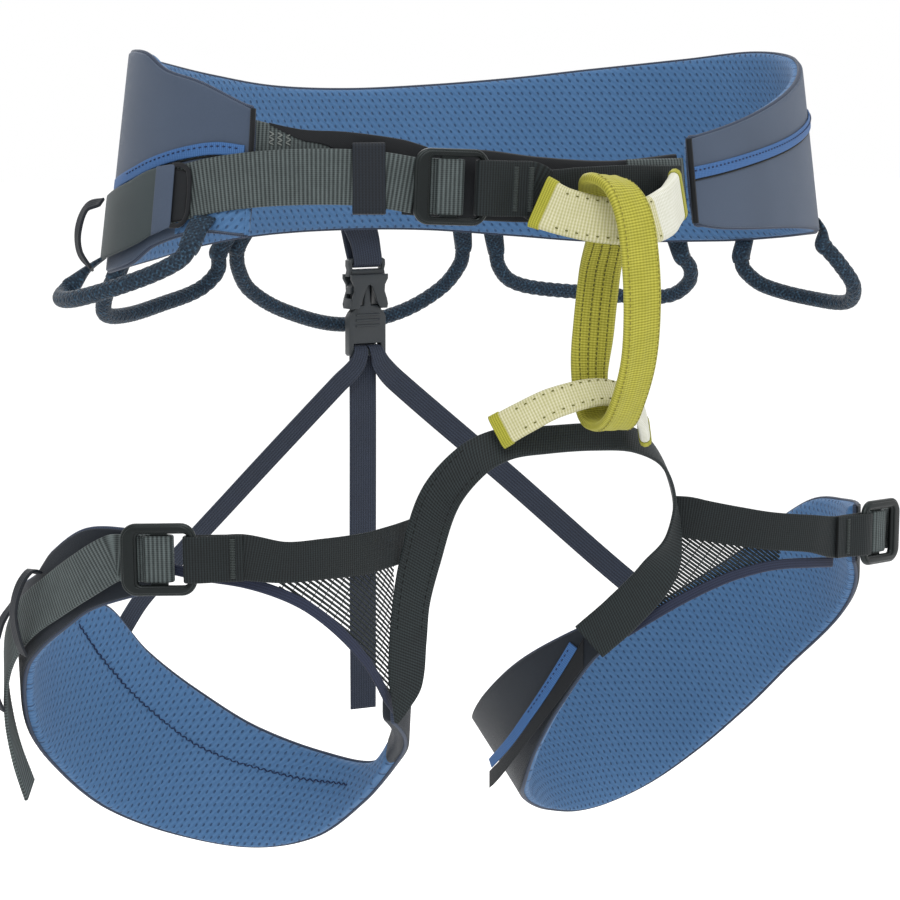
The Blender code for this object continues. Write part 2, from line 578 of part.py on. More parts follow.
def build_leg_webbing():
    """Ribbed adjusting webbing from each leg buckle round the outside of the thigh."""
    right_start = buckle_matrix(RIGHT_LEG_BUCKLE) @ Vector((-0.0136, 0, -0.0011)) / MM
    right_next = buckle_matrix(RIGHT_LEG_BUCKLE) @ Vector((-0.0185, 0.0002, -0.0013)) / MM
    right = [(*right_start, -0.60, -0.80, 0, 18.5), (*right_next, -0.64, -0.77, 0, 18.5),
             (-200.5, -25, -156.6, -0.85, -0.5, 0, 18.5),
             (-203.0, -7, -166, -0.98, -0.2, 0, 18.5), (-205.6, 14, -178, -1, 0.0, 0, 18),
             (-204.6, 32, -192, -0.97, 0.25, 0, 18), (-200.5, 46, -208, -0.9, 0.42, 0, 18),
             (-195.5, 55, -226, -0.85, 0.5, 0, 17.5), (-189.2, 60.5, -245, -0.82, 0.55, 0, 17),
             (-182, 64, -262, -0.8, 0.58, 0.1, 16)]
    ribbon("right_leg_webbing", right, WEBBING_THICKNESS, WEBBING_GREY, 50)
    left_start = buckle_matrix(LEFT_LEG_BUCKLE) @ Vector((-0.0136, 0, -0.0011)) / MM
    left = [(*left_start, 0.31, -0.95, 0, 18.5), (195.5, -50, -165.5, 0.75, -0.66, 0, 18.5),
            (204, -28, -170, 0.93, -0.36, 0, 18.5), (207.2, -8, -176, 0.99, -0.1, 0, 18.5),
            (206.8, 12, -184, 1, 0.0, 0, 18), (204.2, 30, -194, 0.97, 0.2, 0, 18),
            (199, 46, -208, 0.9, 0.4, 0, 17.5)]
    ribbon("left_leg_webbing", left, WEBBING_THICKNESS, WEBBING_GREY, 40)


def build_leg_keepers():
    """Elastic loops that hold the webbing tails, standing away from the right leg loop."""
    upper = [(-204.6, 5, -158.6, -0.5, 0, 0.85, 9), (-208.5, 4.5, -157.4, -0.5, 0, 0.85, 9),
             (-213, 5, -163, -0.95, 0, 0.3, 9), (-214, 9, -174, -1, 0, 0, 9),
             (-211.2, 12, -185.5, -0.8, 0, -0.6, 9), (-207.4, 14, -193.2, -0.8, 0, -0.6, 9)]
    ribbon("right_leg_keeper_upper", upper, ELASTIC_THICKNESS, ELASTIC_SLATE, 24)
    lower = [(-206.5, 26, -174.5, -0.6, 0, 0.8, 9), (-210, 30, -183, -0.9, 0, 0.4, 9),
             (-211.8, 36, -202, -1, 0, 0, 9), (-207.5, 42, -214, -0.85, 0, -0.5, 9),
             (-203.6, 45, -221.5, -0.7, 0, -0.7, 9)]
    ribbon("right_leg_keeper_lower", lower, ELASTIC_THICKNESS, ELASTIC_SLATE, 24)
    left = [(209.8, 13, -173, 0.7, 0, 0.7, 9), (213.2, 16, -181, 0.95, 0, 0.2, 9),
            (213.2, 19, -191, 0.95, 0, -0.2, 9), (209.6, 22, -201.5, 0.8, 0, -0.6, 9)]
    ribbon("left_leg_keeper", left, ELASTIC_THICKNESS, ELASTIC_SLATE, 20)


# ---------------------------------------------------------------- belt keepers
def build_belt_keepers():
    """A sliding sleeve round the waist webbing, and a loose elastic loop on the hip."""
    angle, height = 320.6, 0.3
    place = belt_point(angle, height * MM, 0)
    outward = belt_outward(angle, height * MM)
    along = Vector((0, 0, 1)).cross(outward).normalized()
    across = outward.cross(along)
    matrix = Matrix.Translation(place) @ Matrix((along, across, outward)).transposed().to_4x4()
    half = WAIST_WEBBING_WIDTH / 2
    ring = [(-half - 0.0022, -0.0017), (half + 0.0022, -0.0017), (half + 0.0022, 0.0017),
            (-half - 0.0022, 0.0017)]
    sections = []
    for scale in (0.0, 0.0008):
        sections.append([(y + math.copysign(scale, y), z + math.copysign(scale, z)) for y, z in ring])
    inside = [[matrix @ Vector((x, y, z)) for y, z in sections[0]] for x in (-0.0065, 0.0065)]
    outside = [[matrix @ Vector((x, y, z)) for y, z in sections[1]] for x in (-0.0065, 0.0065)]
    loops = [inside[0], inside[1], outside[1], outside[0]]
    loft("waist_keeper_sleeve", loops, ELASTIC_SLATE, closed=True)
    rows = [(-173.5, 6, -10.5, -0.6, 0.1, 0.75, 9), (-177.2, 12, -12.8, -0.85, 0.1, 0.5, 9),
            (-179.2, 16, -22, -1, 0.1, 0, 9), (-179.6, 14, -31, -0.95, 0.1, -0.3, 9),
            (-176.8, 9, -37.6, -0.5, 0, -0.85, 9)]
    ribbon("hip_keeper_loop", rows, ELASTIC_THICKNESS, ELASTIC_SLATE, 22)


# ---------------------------------------------------------------- rear risers
def build_rear_buckle(centre):
    """Side-release buckle: socket above, plug with two springy prongs below."""
    socket = block("rear_buckle_socket", centre + Vector((-0.0100, -0.0046, -0.0690)),
                   centre + Vector((0.0100, 0.0046, -0.0456)))
    socket.data.materials.append(BUCKLE_BLACK)
    cavity = block("socket_cavity", centre + Vector((-0.0078, -0.0026, -0.0710)),
                   centre + Vector((0.0078, 0.0026, -0.0520)), CUTTERS)
    windows = block("socket_windows", centre + Vector((-0.0120, -0.0026, -0.0635)),
                    centre + Vector((0.0120, 0.0026, -0.0540)), CUTTERS)
    slot = block("socket_slot", centre + Vector((-0.0072, -0.0060, -0.0500)),
                 centre + Vector((0.0072, 0.0060, -0.0480)), CUTTERS)
    for cutter in (cavity, windows, slot):
        cut(socket, cutter)
    half_base = [(10, -91), (10, -73), (7.5, -70), (7.5, -67.6), (1.9, -67.6), (1.3, -55)]
    base = half_base + [(-x, z) for x, z in half_base[::-1]]
    slot_outline = [(-7.4, -88.2), (-7.4, -85.4), (7.4, -85.4), (7.4, -88.2)]
    upright = Matrix.Translation(centre) @ Matrix.Rotation(math.radians(90), 4, "X")
    outline = [(x * MM, z * MM) for x, z in base]
    hole = [(x * MM, z * MM) for x, z in slot_outline]
    plate("rear_buckle_plug", [outline, hole], -0.0022, 0.0022, upright, BUCKLE_BLACK)
    prong = [(7.3, -67.2), (4.5, -67.2), (4.1, -60), (3.8, -55.4), (5.8, -55.0), (9.3, -59.2),
             (9.3, -62.0), (7.0, -62.4)]
    for side, sign in (("left", 1), ("right", -1)):
        points = [(sign * x * MM, z * MM) for x, z in prong]
        plate("rear_buckle_prong_" + side, [points], -0.0020, 0.0020, upright, BUCKLE_BLACK)


def build_rear():
    """Strap, side-release buckle, elastic risers and the loose tail at the back."""
    build_rear_buckle(Vector((0.0205, 0.1200, 0)))
    strap = [(9.5, 113.6, -14, 0, 1, 0.1, 18), (13, 116.2, -26, 0, 1, 0.1, 18),
             (18, 118.8, -36, 0, 1, 0.15, 18), (19.8, 119.8, -43, 0, 1, 0.1, 18)]
    ribbon("rear_strap", strap, WEBBING_THICKNESS, ELASTIC_SLATE, 16)
    right_end = leg_point("right", 178, -0.2080, 0.0) / MM
    right = [(14, 118.3, -95.2, 0, 1, 0, 9.5), (4, 117.3, -103.6, 0, 1, 0, 9.5),
             (-55, 108.5, -149, -0.1, 1, 0, 9.5), (-108, 98.4, -190, -0.1, 1, 0.1, 9.5),
             (*right_end, -0.1, 1, 0.1, 9.5)]
    ribbon("rear_riser_right", right, ELASTIC_THICKNESS, ELASTIC_SLATE, 30)
    left_end = leg_point("left", 140, -0.2240, 0.0012) / MM
    left = [(27, 121.2, -95.6, 0, 1, 0, 11), (37, 119.5, -104, 0, 1, 0, 11),
            (92, 106.5, -152, 0.2, 1, 0, 11), (150, 95.2, -203, 0.4, 0.9, 0.05, 11),
            (*left_end, 0.64, 0.77, 0.05, 11)]
    ribbon("rear_riser_left", left, ELASTIC_THICKNESS, ELASTIC_SLATE, 30)
    tail = [(21.5, 124.2, -88, 0, 1, 0, 14.5), (21.4, 124, -125, 0, 1, 0, 14.5),
            (20.5, 123, -185, 0, 1, 0, 14.5), (19.5, 121.5, -259, 0, 1, 0, 14)]
    ribbon("rear_riser_tail", tail, ELASTIC_THICKNESS, ELASTIC_SLATE, 26)


# ---------------------------------------------------------------- gear loops
GEAR_LOOPS = {
    "gear_loop_front_right": [(-160, -43, -26), (-163, -41.5, -31), (-170.5, -35, -36.5),
                              (-181, -20, -43), (-187, 2, -48.5), (-184.5, 21, -50), (-178.5, 31.5, -48.5),
                              (-174, 32.5, -45.5)],
    "gear_loop_rear_right": [(-128, 83, -46), (-130, 89.5, -55), (-125, 100, -64), (-108, 112, -66),
                             (-86, 120, -62.5), (-65, 124, -57), (-58, 120, -49), (-59.5, 116, -40)],
    "gear_loop_centre": [(-49, 118, -38), (-45, 124, -48), (-35, 131, -59), (-13, 137, -70), (20, 140, -78),
                         (48, 134, -73), (66, 126, -62), (72, 118, -50), (71.5, 114.5, -41)],
    "gear_loop_rear_left": [(86, 108.5, -43), (88.5, 110, -51), (95, 110.5, -58), (107, 108.5, -62),
                            (133, 99, -65), (153, 84, -67), (163, 72, -65.5), (166, 63, -59),
                            (163, 58, -52), (157.5, 57.5, -46)],
    "gear_loop_front_left": [(165.5, 22.5, -44.5), (167.5, 22.5, -51), (176, 18, -58.5), (189, -4, -64),
                             (188.5, -27, -63.5), (180, -41, -55), (169, -43.5, -44), (162, -41, -36)],
}


def build_gear_loops():
    """Sheathed cord loops that swing on the belt's lower edge, origins on their axes."""
    for name, points in GEAR_LOOPS.items():
        loop = tube(name, points, GEAR_LOOP_DIAMETER, GEAR_LOOP_TEAL)
        axis_point = mm(points[0])
        for point in loop.data.splines[0].points:
            point.co.xyz -= axis_point
        loop.location = axis_point


# ---------------------------------------------------------------- build
def clear_scene():
    for obj in list(bpy.data.objects):
        bpy.data.objects.remove(obj)


def add_collection(name):
    collection = bpy.data.collections.new(name)
    bpy.context.scene.collection.children.link(collection)
    return collection


clear_scene()
PARTS = add_collection("climbing_harness")
CUTTERS = add_collection("cutters")
LINER_BLUE = material("liner_blue", (0.10, 0.21, 0.45), 0.85)
FOAM_GREY = material("foam_grey", (0.25, 0.26, 0.28), 0.9)
SHELL_SLATE = material("shell_slate", (0.085, 0.105, 0.15), 0.7)
ACCENT_BLUE = material("accent_blue", (0.085, 0.21, 0.51), 0.7)
WEBBING_GREY = material("webbing_grey", (0.12, 0.14, 0.14), 0.75)
WEBBING_DARK = material("webbing_dark", (0.028, 0.036, 0.036), 0.75)
ELASTIC_SLATE = material("elastic_slate", (0.042, 0.051, 0.08), 0.8)
BINDING_NAVY = material("binding_navy", (0.027, 0.035, 0.077), 0.8)
MESH_DARK = material("mesh_dark", (0.035, 0.045, 0.045), 0.8)
BUCKLE_BLACK = material("buckle_black", (0.018, 0.023, 0.022), 0.4, 0.5)
BELAY_LIME = material("belay_lime", (0.45, 0.46, 0.035), 0.75)
SLEEVE_CREAM = material("sleeve_cream", (0.73, 0.73, 0.40), 0.8)
GEAR_LOOP_TEAL = material("gear_loop_teal", (0.02, 0.045, 0.085), 0.7)

build_belt_layers()
build_belt_front()
build_waist_webbing()
build_buckles()
build_front_straps()
build_belt_keepers()
build_tie_in()
build_leg_bridge()
build_leg_pads()
build_leg_mesh()
build_leg_webbing()
build_leg_keepers()
build_rear()
build_gear_loops()
bpy.context.view_layer.update()
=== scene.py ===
"""Looks of a climbing harness: padded belt and leg loops, woven webbing, sleeved tie-in
loops, buckles, braided gear loops and elastic rear risers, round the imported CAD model.

Metres, +Z up, the CAD model's own frame: the origin is the middle of the waist belt, -Y the
wearer's front and +X the wearer's left. Angles round the belt and round each leg loop are
degrees, 0 at the front. Routes and outlines are written in millimetres.
"""

import math

import bmesh
import bpy
from mathutils import Matrix, Vector, noise
from mathutils.bvhtree import BVHTree


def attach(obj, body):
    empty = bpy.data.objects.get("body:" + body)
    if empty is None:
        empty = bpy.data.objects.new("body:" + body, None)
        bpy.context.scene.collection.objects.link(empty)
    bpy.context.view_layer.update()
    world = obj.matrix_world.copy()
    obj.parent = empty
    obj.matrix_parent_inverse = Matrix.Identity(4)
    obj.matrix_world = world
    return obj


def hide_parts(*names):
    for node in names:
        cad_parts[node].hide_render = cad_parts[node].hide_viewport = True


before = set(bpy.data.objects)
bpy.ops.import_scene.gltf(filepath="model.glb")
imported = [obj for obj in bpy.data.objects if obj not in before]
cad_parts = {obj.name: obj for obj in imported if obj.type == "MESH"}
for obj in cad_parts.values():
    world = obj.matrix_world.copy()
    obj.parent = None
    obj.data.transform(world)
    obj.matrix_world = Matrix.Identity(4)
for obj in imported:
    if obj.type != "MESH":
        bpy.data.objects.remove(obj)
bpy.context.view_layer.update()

# ---------------------------------------------------------------- driving dimensions
MM = 0.001
WAIST_HALF_WIDTH = {"right": 0.162, "left": 0.1685}
WAIST_HALF_DEPTH = 0.109
WAIST_FLARE = 0.12
LEG_CENTRE = {"right": (-0.1205, 0.012), "left": (0.115, 0.012)}
LEG_RADIUS = {"right": 0.084, "left": 0.090}

# strap widths, and the mesh panels' yarn spacing and depth below the rim, in millimetres
WAIST_WEBBING_WIDTH = 22
LEG_WEBBING_WIDTH = 18.5
BINDING_WIDTH = 4.5
KEEPER_WIDTH = 6.0
MESH_PITCH = {"right": 1.75, "left": 1.45}
MESH_HEM = {"right": 1.5, "left": 5.0}

# thicknesses, diameters and weave pitches, in metres
WEBBING_THICKNESS = 0.0016
FOLD_THICKNESS = 0.0013
ELASTIC_THICKNESS = 0.0012
BINDING_THICKNESS = 0.0014
BELAY_THICKNESS = 0.0044
SLEEVE_THICKNESS = 0.0044
GEAR_LOOP_DIAMETER = 0.0068
PIPING_RADIUS = 0.00085
SEAM_LINE_RADIUS = 0.0004
RIB_PITCH = 0.0017
FINE_RIB_PITCH = 0.0011
CORD_BRAID_PITCH = 0.0042

STUDIO_LIGHT = 1.35
FLOOR_HEIGHT = -0.52
CAMERA_AZIMUTH = -33
CAMERA_ELEVATION = 7
CAMERA_DISTANCE = 1.40
CAMERA_TARGET = (-0.00727, 0.00472, -0.122)
CAMERA_LENS = 129

# layers outward from the webbing's middle, (inner, outer)
PAD_LAYER = (-0.0080, -0.0029)
SHELL_LAYER = (-0.0026, -0.0012)
TONGUE_LAYER = (-0.0053, -0.0041)
FLAP_LAYER = (-0.0069, -0.0056)
TRIM_LAYER = (-0.0010, -0.0002)
TUNNEL_LAYER = (0.0012, 0.0021)
MESH_OFFSET = -0.0014

PAD_FROM = 14.0
PAD_TO = 300.0
BELT_TOP = [(12, 13), (21, 17.5), (28, 21.5), (37, 27), (50, 35), (62, 42), (75, 47), (95, 49),
            (115, 45.5), (135, 41), (150, 37), (165, 34), (180, 32.5), (195, 34), (210, 39),
            (225, 44), (240, 47.5), (255, 49.5), (268, 48.6), (277, 42), (288, 37), (300, 27)]
BELT_BOTTOM = [(12, -19.4), (20, -22.6), (40, -24.5), (55, -27), (64, -29.5), (78, -32),
               (93, -35), (108, -37.5), (135, -38.5), (150, -35.5), (165, -32), (180, -31),
               (195, -32), (210, -35.5), (223, -39.5), (240, -41.5), (255, -40), (270, -35),
               (278, -27), (290, -21), (300, -22)]
RIGHT_LEG_TOP = [(46, 0, -138), (66, 0, -138.5), (81, 0, -150), (90, 0, -161), (115, 0, -172),
                 (145, 0, -181), (173, 0, -192), (187, 0, -214), (203, 0, -233), (222, 0, -250),
                 (245, 0, -259), (268, 0, -258), (285, 0, -242), (303, 0, -220), (325, 0, -211)]
RIGHT_LEG_BOTTOM = [(46, 0, -161), (65, 0, -170), (77, 0, -180.5), (89, 0, -191),
                    (104, 1, -205), (126, 3, -235), (144, 5, -255), (169, 7, -280),
                    (196, 8, -296), (222, 8, -302), (245, 6, -295), (266, 4, -275),
                    (285, 2, -254), (303, 1, -240), (325, 0, -224)]
LEFT_LEG_TOP = [(40, 0, -153), (71, 0, -157), (89, 0, -160), (102, 0, -170), (116, 0, -187),
                (132, 0, -204), (148, 0, -220), (164, 0, -236), (174, 0, -245), (185, 0, -253),
                (203, 0, -259), (222, 0, -260), (238, 0, -254), (257, 0, -238), (278, 0, -217),
                (297, 0, -201), (312, 0, -190)]
LEFT_LEG_BOTTOM = [(40, 0, -178), (50, 0, -187), (62, 0, -199), (77, 0, -215), (97, 2, -239),
                   (114, 5, -264), (130, 10, -285), (148, 14, -302), (166, 19, -310),
                   (183, 23, -311), (201, 25, -307), (222, 26, -300), (245, 22, -290),
                   (264, 14, -279), (280, 6, -256), (292, 1, -234), (303, 0, -212), (312, 0, -201)]
LEG_TABLES = {"right": (RIGHT_LEG_BOTTOM, RIGHT_LEG_TOP), "left": (LEFT_LEG_BOTTOM, LEFT_LEG_TOP)}

WAIST_BUCKLE = ((-74, -97.5, -3), (0.945, -0.325, -0.04), (-0.325, -0.945, 0))
RIGHT_LEG_BUCKLE = ((-180.2, -53.2, -147.2), (0.80, -0.60, 0.02), (-0.60, -0.80, 0))
LEFT_LEG_BUCKLE = ((170, -69.5, -162.5), (-0.95, -0.31, 0.03), (0.31, -0.95, 0))


# ---------------------------------------------------------------- curves and surfaces
def mm(values):
    """A point given in millimetres, as a vector in metres."""
    return Vector(values) * MM


def blend(table, x):
    """Read a table of (x, value, ...) rows at x, with a smooth curve through its rows."""
    if x <= table[0][0]:
        return list(table[0][1:])
    if x >= table[-1][0]:
        return list(table[-1][1:])
    k = max(i for i, row in enumerate(table[:-1]) if row[0] <= x)
    width = table[k + 1][0] - table[k][0]
    t = (x - table[k][0]) / width
    before, after = table[max(k - 1, 0)], table[min(k + 2, len(table) - 1)]
    start, end = table[k], table[k + 1]
    values = []
    for column in range(1, len(start)):
        m0 = (end[column] - before[column]) / (end[0] - before[0]) * width
        m1 = (after[column] - start[column]) / (after[0] - start[0]) * width
        values.append((2 * t**3 - 3 * t**2 + 1) * start[column] + (t**3 - 2 * t**2 + t) * m0
                      + (3 * t**2 - 2 * t**3) * end[column] + (t**3 - t**2) * m1)
    return values


def smooth_route(rows, spacing, closed=False):
    """Rows of numbers, whose first three are x, y, z in mm, at an even spacing in mm."""
    rows = [list(row) for row in rows]
    if closed:
        rows = rows[-1:] + rows + rows[:2]
    chord = [0.0]
    for a, b in zip(rows, rows[1:]):
        chord.append(chord[-1] + (Vector(a[:3]) - Vector(b[:3])).length)
    table = [[c] + row for c, row in zip(chord, rows)]
    first, last = (chord[1], chord[-2]) if closed else (0.0, chord[-1])
    pieces = 1500
    fine = [blend(table, first + (last - first) * i / pieces) for i in range(pieces + 1)]
    length = [0.0]
    for a, b in zip(fine, fine[1:]):
        length.append(length[-1] + (Vector(a[:3]) - Vector(b[:3])).length)
    count = max(6, round(length[-1] / spacing))
    steps = count if closed else count - 1
    out, k = [], 0
    for i in range(count):
        target = length[-1] * i / steps
        while k < pieces - 1 and length[k + 1] < target:
            k += 1
        share = (target - length[k]) / max(length[k + 1] - length[k], 1e-9)
        out.append([p + (q - p) * share for p, q in zip(fine[k], fine[k + 1])])
    return out


def belt_point(angle, height, offset):
    """A point on the waist ring, offset outward from the middle of the webbing."""
    a = math.radians(angle)
    side = "left" if math.sin(a) > 0 else "right"
    half_width = WAIST_HALF_WIDTH[side] - WAIST_FLARE * height
    half_depth = WAIST_HALF_DEPTH - WAIST_FLARE * height
    outward = Vector((math.sin(a) / half_width, -math.cos(a) / half_depth, 0)).normalized()
    return Vector((half_width * math.sin(a), -half_depth * math.cos(a), height)) + outward * offset


def belt_outward(angle, height):
    """The direction square to the flared waist ring."""
    outward = belt_point(angle, height, 1) - belt_point(angle, height, 0)
    return (outward + Vector((0, 0, WAIST_FLARE))).normalized()


def belt_row(angle, height, offset, width):
    """One row of a strap's route on the waist ring, as x, y, z, outward and width."""
    return (*(belt_point(angle, height, offset) / MM), *belt_outward(angle, height), width)


def leg_surface(side):
    """A leg loop's point function of (angle, height, offset)."""
    sign = 1 if side == "left" else -1
    centre, radius = LEG_CENTRE[side], LEG_RADIUS[side]

    def place(angle, height, offset):
        """A point on this leg's cylinder."""
        a = math.radians(angle)
        reach = radius + offset
        return Vector((centre[0] + sign * reach * math.sin(a), centre[1] - reach * math.cos(a), height))
    return place


def leg_point(side, angle, height, offset):
    """A point on a leg loop's cylinder, offset outward from the middle of the webbing."""
    return leg_surface(side)(angle, height, offset)


def leg_row(side, angle, height, offset, width):
    """One row of a strap's route on a leg's cylinder, as x, y, z, outward and width."""
    outward = leg_point(side, angle, 0, 1) - leg_point(side, angle, 0, 0)
    return (*(leg_point(side, angle, height, offset) / MM), *outward, width)


def belt_edges(angle):
    """(inset, height) of the belt's bottom and top edge at an angle."""
    return (0, blend(BELT_BOTTOM, angle)[0] * MM), (0, blend(BELT_TOP, angle)[0] * MM)


def leg_edges(side):
    """A function of angle giving (inset, height) of a leg pad's lower and upper edge."""
    bottom, top = LEG_TABLES[side]

    def edges(angle):
        """Both edges of this leg's pad at an angle."""
        low_inset, low = blend(bottom, angle)
        high_inset, high = blend(top, angle)
        return (low_inset * MM, low * MM), (high_inset * MM, high * MM)
    return edges


# ---------------------------------------------------------------- materials
def shade(red, green, blue):
    """The surface colour that shows as these 0-255 display values in the studio's light."""
    values = []
    for value in (red, green, blue):
        value /= 255
        linear = value / 12.92 if value <= 0.04045 else ((value + 0.055) / 1.055) ** 2.4
        values.append(linear / STUDIO_LIGHT)
    return tuple(values)


class Finish:
    """A procedural material being put together. Inputs are numbers, colours or sockets."""

    def __init__(self, name, roughness, metallic=0.0, sheen=0.0, specular=0.2):
        """Start a material from the Principled shader's plain settings."""
        self.material = bpy.data.materials.new(name)
        self.material.use_nodes = True
        self.tree = self.material.node_tree
        self.shader = self.tree.nodes["Principled BSDF"]
        self.shader.inputs["Roughness"].default_value = roughness
        self.shader.inputs["Metallic"].default_value = metallic
        self.shader.inputs["Sheen Weight"].default_value = sheen
        self.shader.inputs["Sheen Roughness"].default_value = 0.45
        self.shader.inputs["Specular IOR Level"].default_value = specular

    def put(self, socket, value):
        """Set a socket to a number or colour, or link another socket to it."""
        if isinstance(value, bpy.types.NodeSocket):
            self.tree.links.new(value, socket)
        elif isinstance(value, tuple):
            socket.default_value = (*value, 1.0)
        else:
            socket.default_value = value

    def math(self, operation, *values):
        """The result of a math node on numbers or sockets."""
        node = self.tree.nodes.new("ShaderNodeMath")
        node.operation = operation
        for socket, value in zip(node.inputs, values):
            self.put(socket, value)
        return node.outputs[0]

    def mul(self, a, b):
        """a times b."""
        return self.math("MULTIPLY", a, b)

    def mul_add(self, a, b, c):
        """a times b, plus c."""
        return self.math("MULTIPLY_ADD", a, b, c)

    def uv(self):
        """Metres along the piece, and metres across it."""
        source = self.tree.nodes.new("ShaderNodeUVMap")
        split = self.tree.nodes.new("ShaderNodeSeparateXYZ")
        self.tree.links.new(source.outputs["UV"], split.inputs[0])
        return split.outputs[0], split.outputs[1]

    def ripple(self, x, pitch):
        """A wave from 0 to 1 that is 0 at x = 0 and highest half a pitch on."""
        turned = self.math("COSINE", self.mul(x, 2 * math.pi / pitch))
        return self.mul_add(turned, -0.5, 0.5)

    def cloud(self, size, detail=3.0, stretch=(1, 1, 1)):
        """Noise from 0 to 1 with patches about a size in metres across."""
        place = self.tree.nodes.new("ShaderNodeTexCoord")
        mapping = self.tree.nodes.new("ShaderNodeMapping")
        texture = self.tree.nodes.new("ShaderNodeTexNoise")
        mapping.inputs["Scale"].default_value = stretch
        texture.inputs["Scale"].default_value = 1 / size
        texture.inputs["Detail"].default_value = detail
        self.tree.links.new(place.outputs["Object"], mapping.inputs["Vector"])
        self.tree.links.new(mapping.outputs["Vector"], texture.inputs["Vector"])
        return texture.outputs["Fac"]

    def step(self, value, low, high):
        """0 below low, 1 above high, smooth between."""
        node = self.tree.nodes.new("ShaderNodeMapRange")
        node.interpolation_type = "SMOOTHSTEP"
        self.put(node.inputs["Value"], value)
        node.inputs["From Min"].default_value = low
        node.inputs["From Max"].default_value = high
        return node.outputs["Result"]

    def mix(self, low, high, share):
        """The colour at a share of the way from low to high."""
        node = self.tree.nodes.new("ShaderNodeMix")
        node.data_type = "RGBA"
        self.put(node.inputs["Factor"], share)
        self.put(node.inputs[6], low)
        self.put(node.inputs[7], high)
        return node.outputs[2]

    def done(self, colour, height=None, depth=0.0002, roughness=None):
        """Connect the colour, and a bump of a real depth in metres."""
        self.put(self.shader.inputs["Base Color"], colour)
        if roughness is not None:
            self.put(self.shader.inputs["Roughness"], roughness)
        if height is not None:
            bump = self.tree.nodes.new("ShaderNodeBump")
            bump.inputs["Strength"].default_value = 1.0
            bump.inputs["Distance"].default_value = depth
            self.put(bump.inputs["Height"], height)
            self.tree.links.new(bump.outputs["Normal"], self.shader.inputs["Normal"])
        return self.material


def ribbed_webbing(name, low, high, pitch, fine, depth=0.00012, slant=0.0, gloss=0.62):
    """Woven webbing: ribs across it at a pitch, and fine warp yarns along it."""
    finish = Finish(name, gloss, sheen=0.03)
    u, v = finish.uv()
    along = finish.mul_add(v, slant, u)
    rib = finish.ripple(along, pitch)
    warp = finish.ripple(v, fine)
    yarn = finish.mul_add(warp, 0.28, finish.mul(rib, 0.72))
    worn = finish.cloud(0.006, 4.0)
    fleck = finish.cloud(0.0009, 2.0)
    share = finish.mul(yarn, finish.mul_add(worn, 0.7, 0.6))
    share = finish.mul_add(fleck, 0.22, finish.math("SUBTRACT", share, 0.11))
    height = finish.mul_add(fleck, 0.3, yarn)
    roughness = finish.mul_add(worn, 0.2, gloss - 0.1)
    return finish.done(finish.mix(low, high, share), height, depth, roughness)


def lengthwise_webbing(name, low, high, pitch, cross, depth=0.00012, gloss=0.6):
    """Tubular or elastic tape: ribs along it at a pitch, and fine picks across it."""
    finish = Finish(name, gloss, sheen=0.03)
    u, v = finish.uv()
    rib = finish.ripple(v, pitch)
    pick = finish.ripple(finish.mul_add(rib, cross * 0.5, u), cross)
    yarn = finish.mul_add(pick, 0.4, finish.mul(rib, 0.6))
    worn = finish.cloud(0.007, 4.0)
    fleck = finish.cloud(0.0008, 2.0)
    share = finish.mul(yarn, finish.mul_add(worn, 0.6, 0.65))
    share = finish.mul_add(fleck, 0.25, finish.math("SUBTRACT", share, 0.125))
    height = finish.mul_add(fleck, 0.25, yarn)
    colour = finish.mix(low, high, share)
    return finish.done(colour, height, depth, finish.mul_add(worn, 0.2, gloss - 0.1))


def spacer_mesh(name, base, light, hole):
    """Three-dimensional spacer knit: staggered oval holes between soft diagonal ridges, the holes painted
    darker as painted shade in their recesses.
    """
    finish = Finish(name, 0.75, sheen=0.08)
    u, v = finish.uv()
    pitch_u, pitch_v = 0.0040, 0.0029
    row = finish.math("FLOOR", finish.math("DIVIDE", v, pitch_v))
    shift = finish.mul(finish.math("MODULO", finish.math("ABSOLUTE", row), 2.0), 0.5)
    a = finish.math("ADD", finish.math("DIVIDE", u, pitch_u), shift)
    du = finish.mul_add(finish.math("FRACT", a), pitch_u, -pitch_u / 2)
    b = finish.math("FRACT", finish.math("DIVIDE", v, pitch_v))
    dv = finish.mul_add(b, pitch_v, -pitch_v / 2)
    long = finish.mul_add(dv, 0.75, finish.mul(du, 0.66))
    short = finish.mul_add(dv, -0.66, finish.mul(du, 0.75))
    long = finish.math("DIVIDE", long, 0.00085)
    short = finish.math("DIVIDE", short, 0.00046)
    far = finish.math("ADD", finish.mul(long, long), finish.mul(short, short))
    open_share = finish.math("SUBTRACT", 1.0, finish.step(far, 0.35, 1.5))
    diagonal = finish.mul_add(u, 0.62, finish.mul(v, -0.95))
    ridge = finish.ripple(diagonal, 0.0025)
    knit = finish.ripple(finish.mul_add(u, 0.8, v), 0.0007)
    worn = finish.cloud(0.03, 3.0)
    fleck = finish.cloud(0.0012, 3.0)
    lightness = finish.mul_add(ridge, 0.42, finish.mul(worn, 0.5))
    face = finish.mix(base, light, lightness)
    face = finish.mix(face, hole, finish.mul(fleck, 0.16))
    # painted shade: the holes take the darker hole colour, as the shade in their recesses
    colour = finish.mix(face, hole, finish.mul(open_share, 0.72))
    height = finish.mul_add(ridge, 0.35, finish.mul(knit, 0.12))
    height = finish.math("SUBTRACT", height, open_share)
    return finish.done(colour, height, 0.0005)


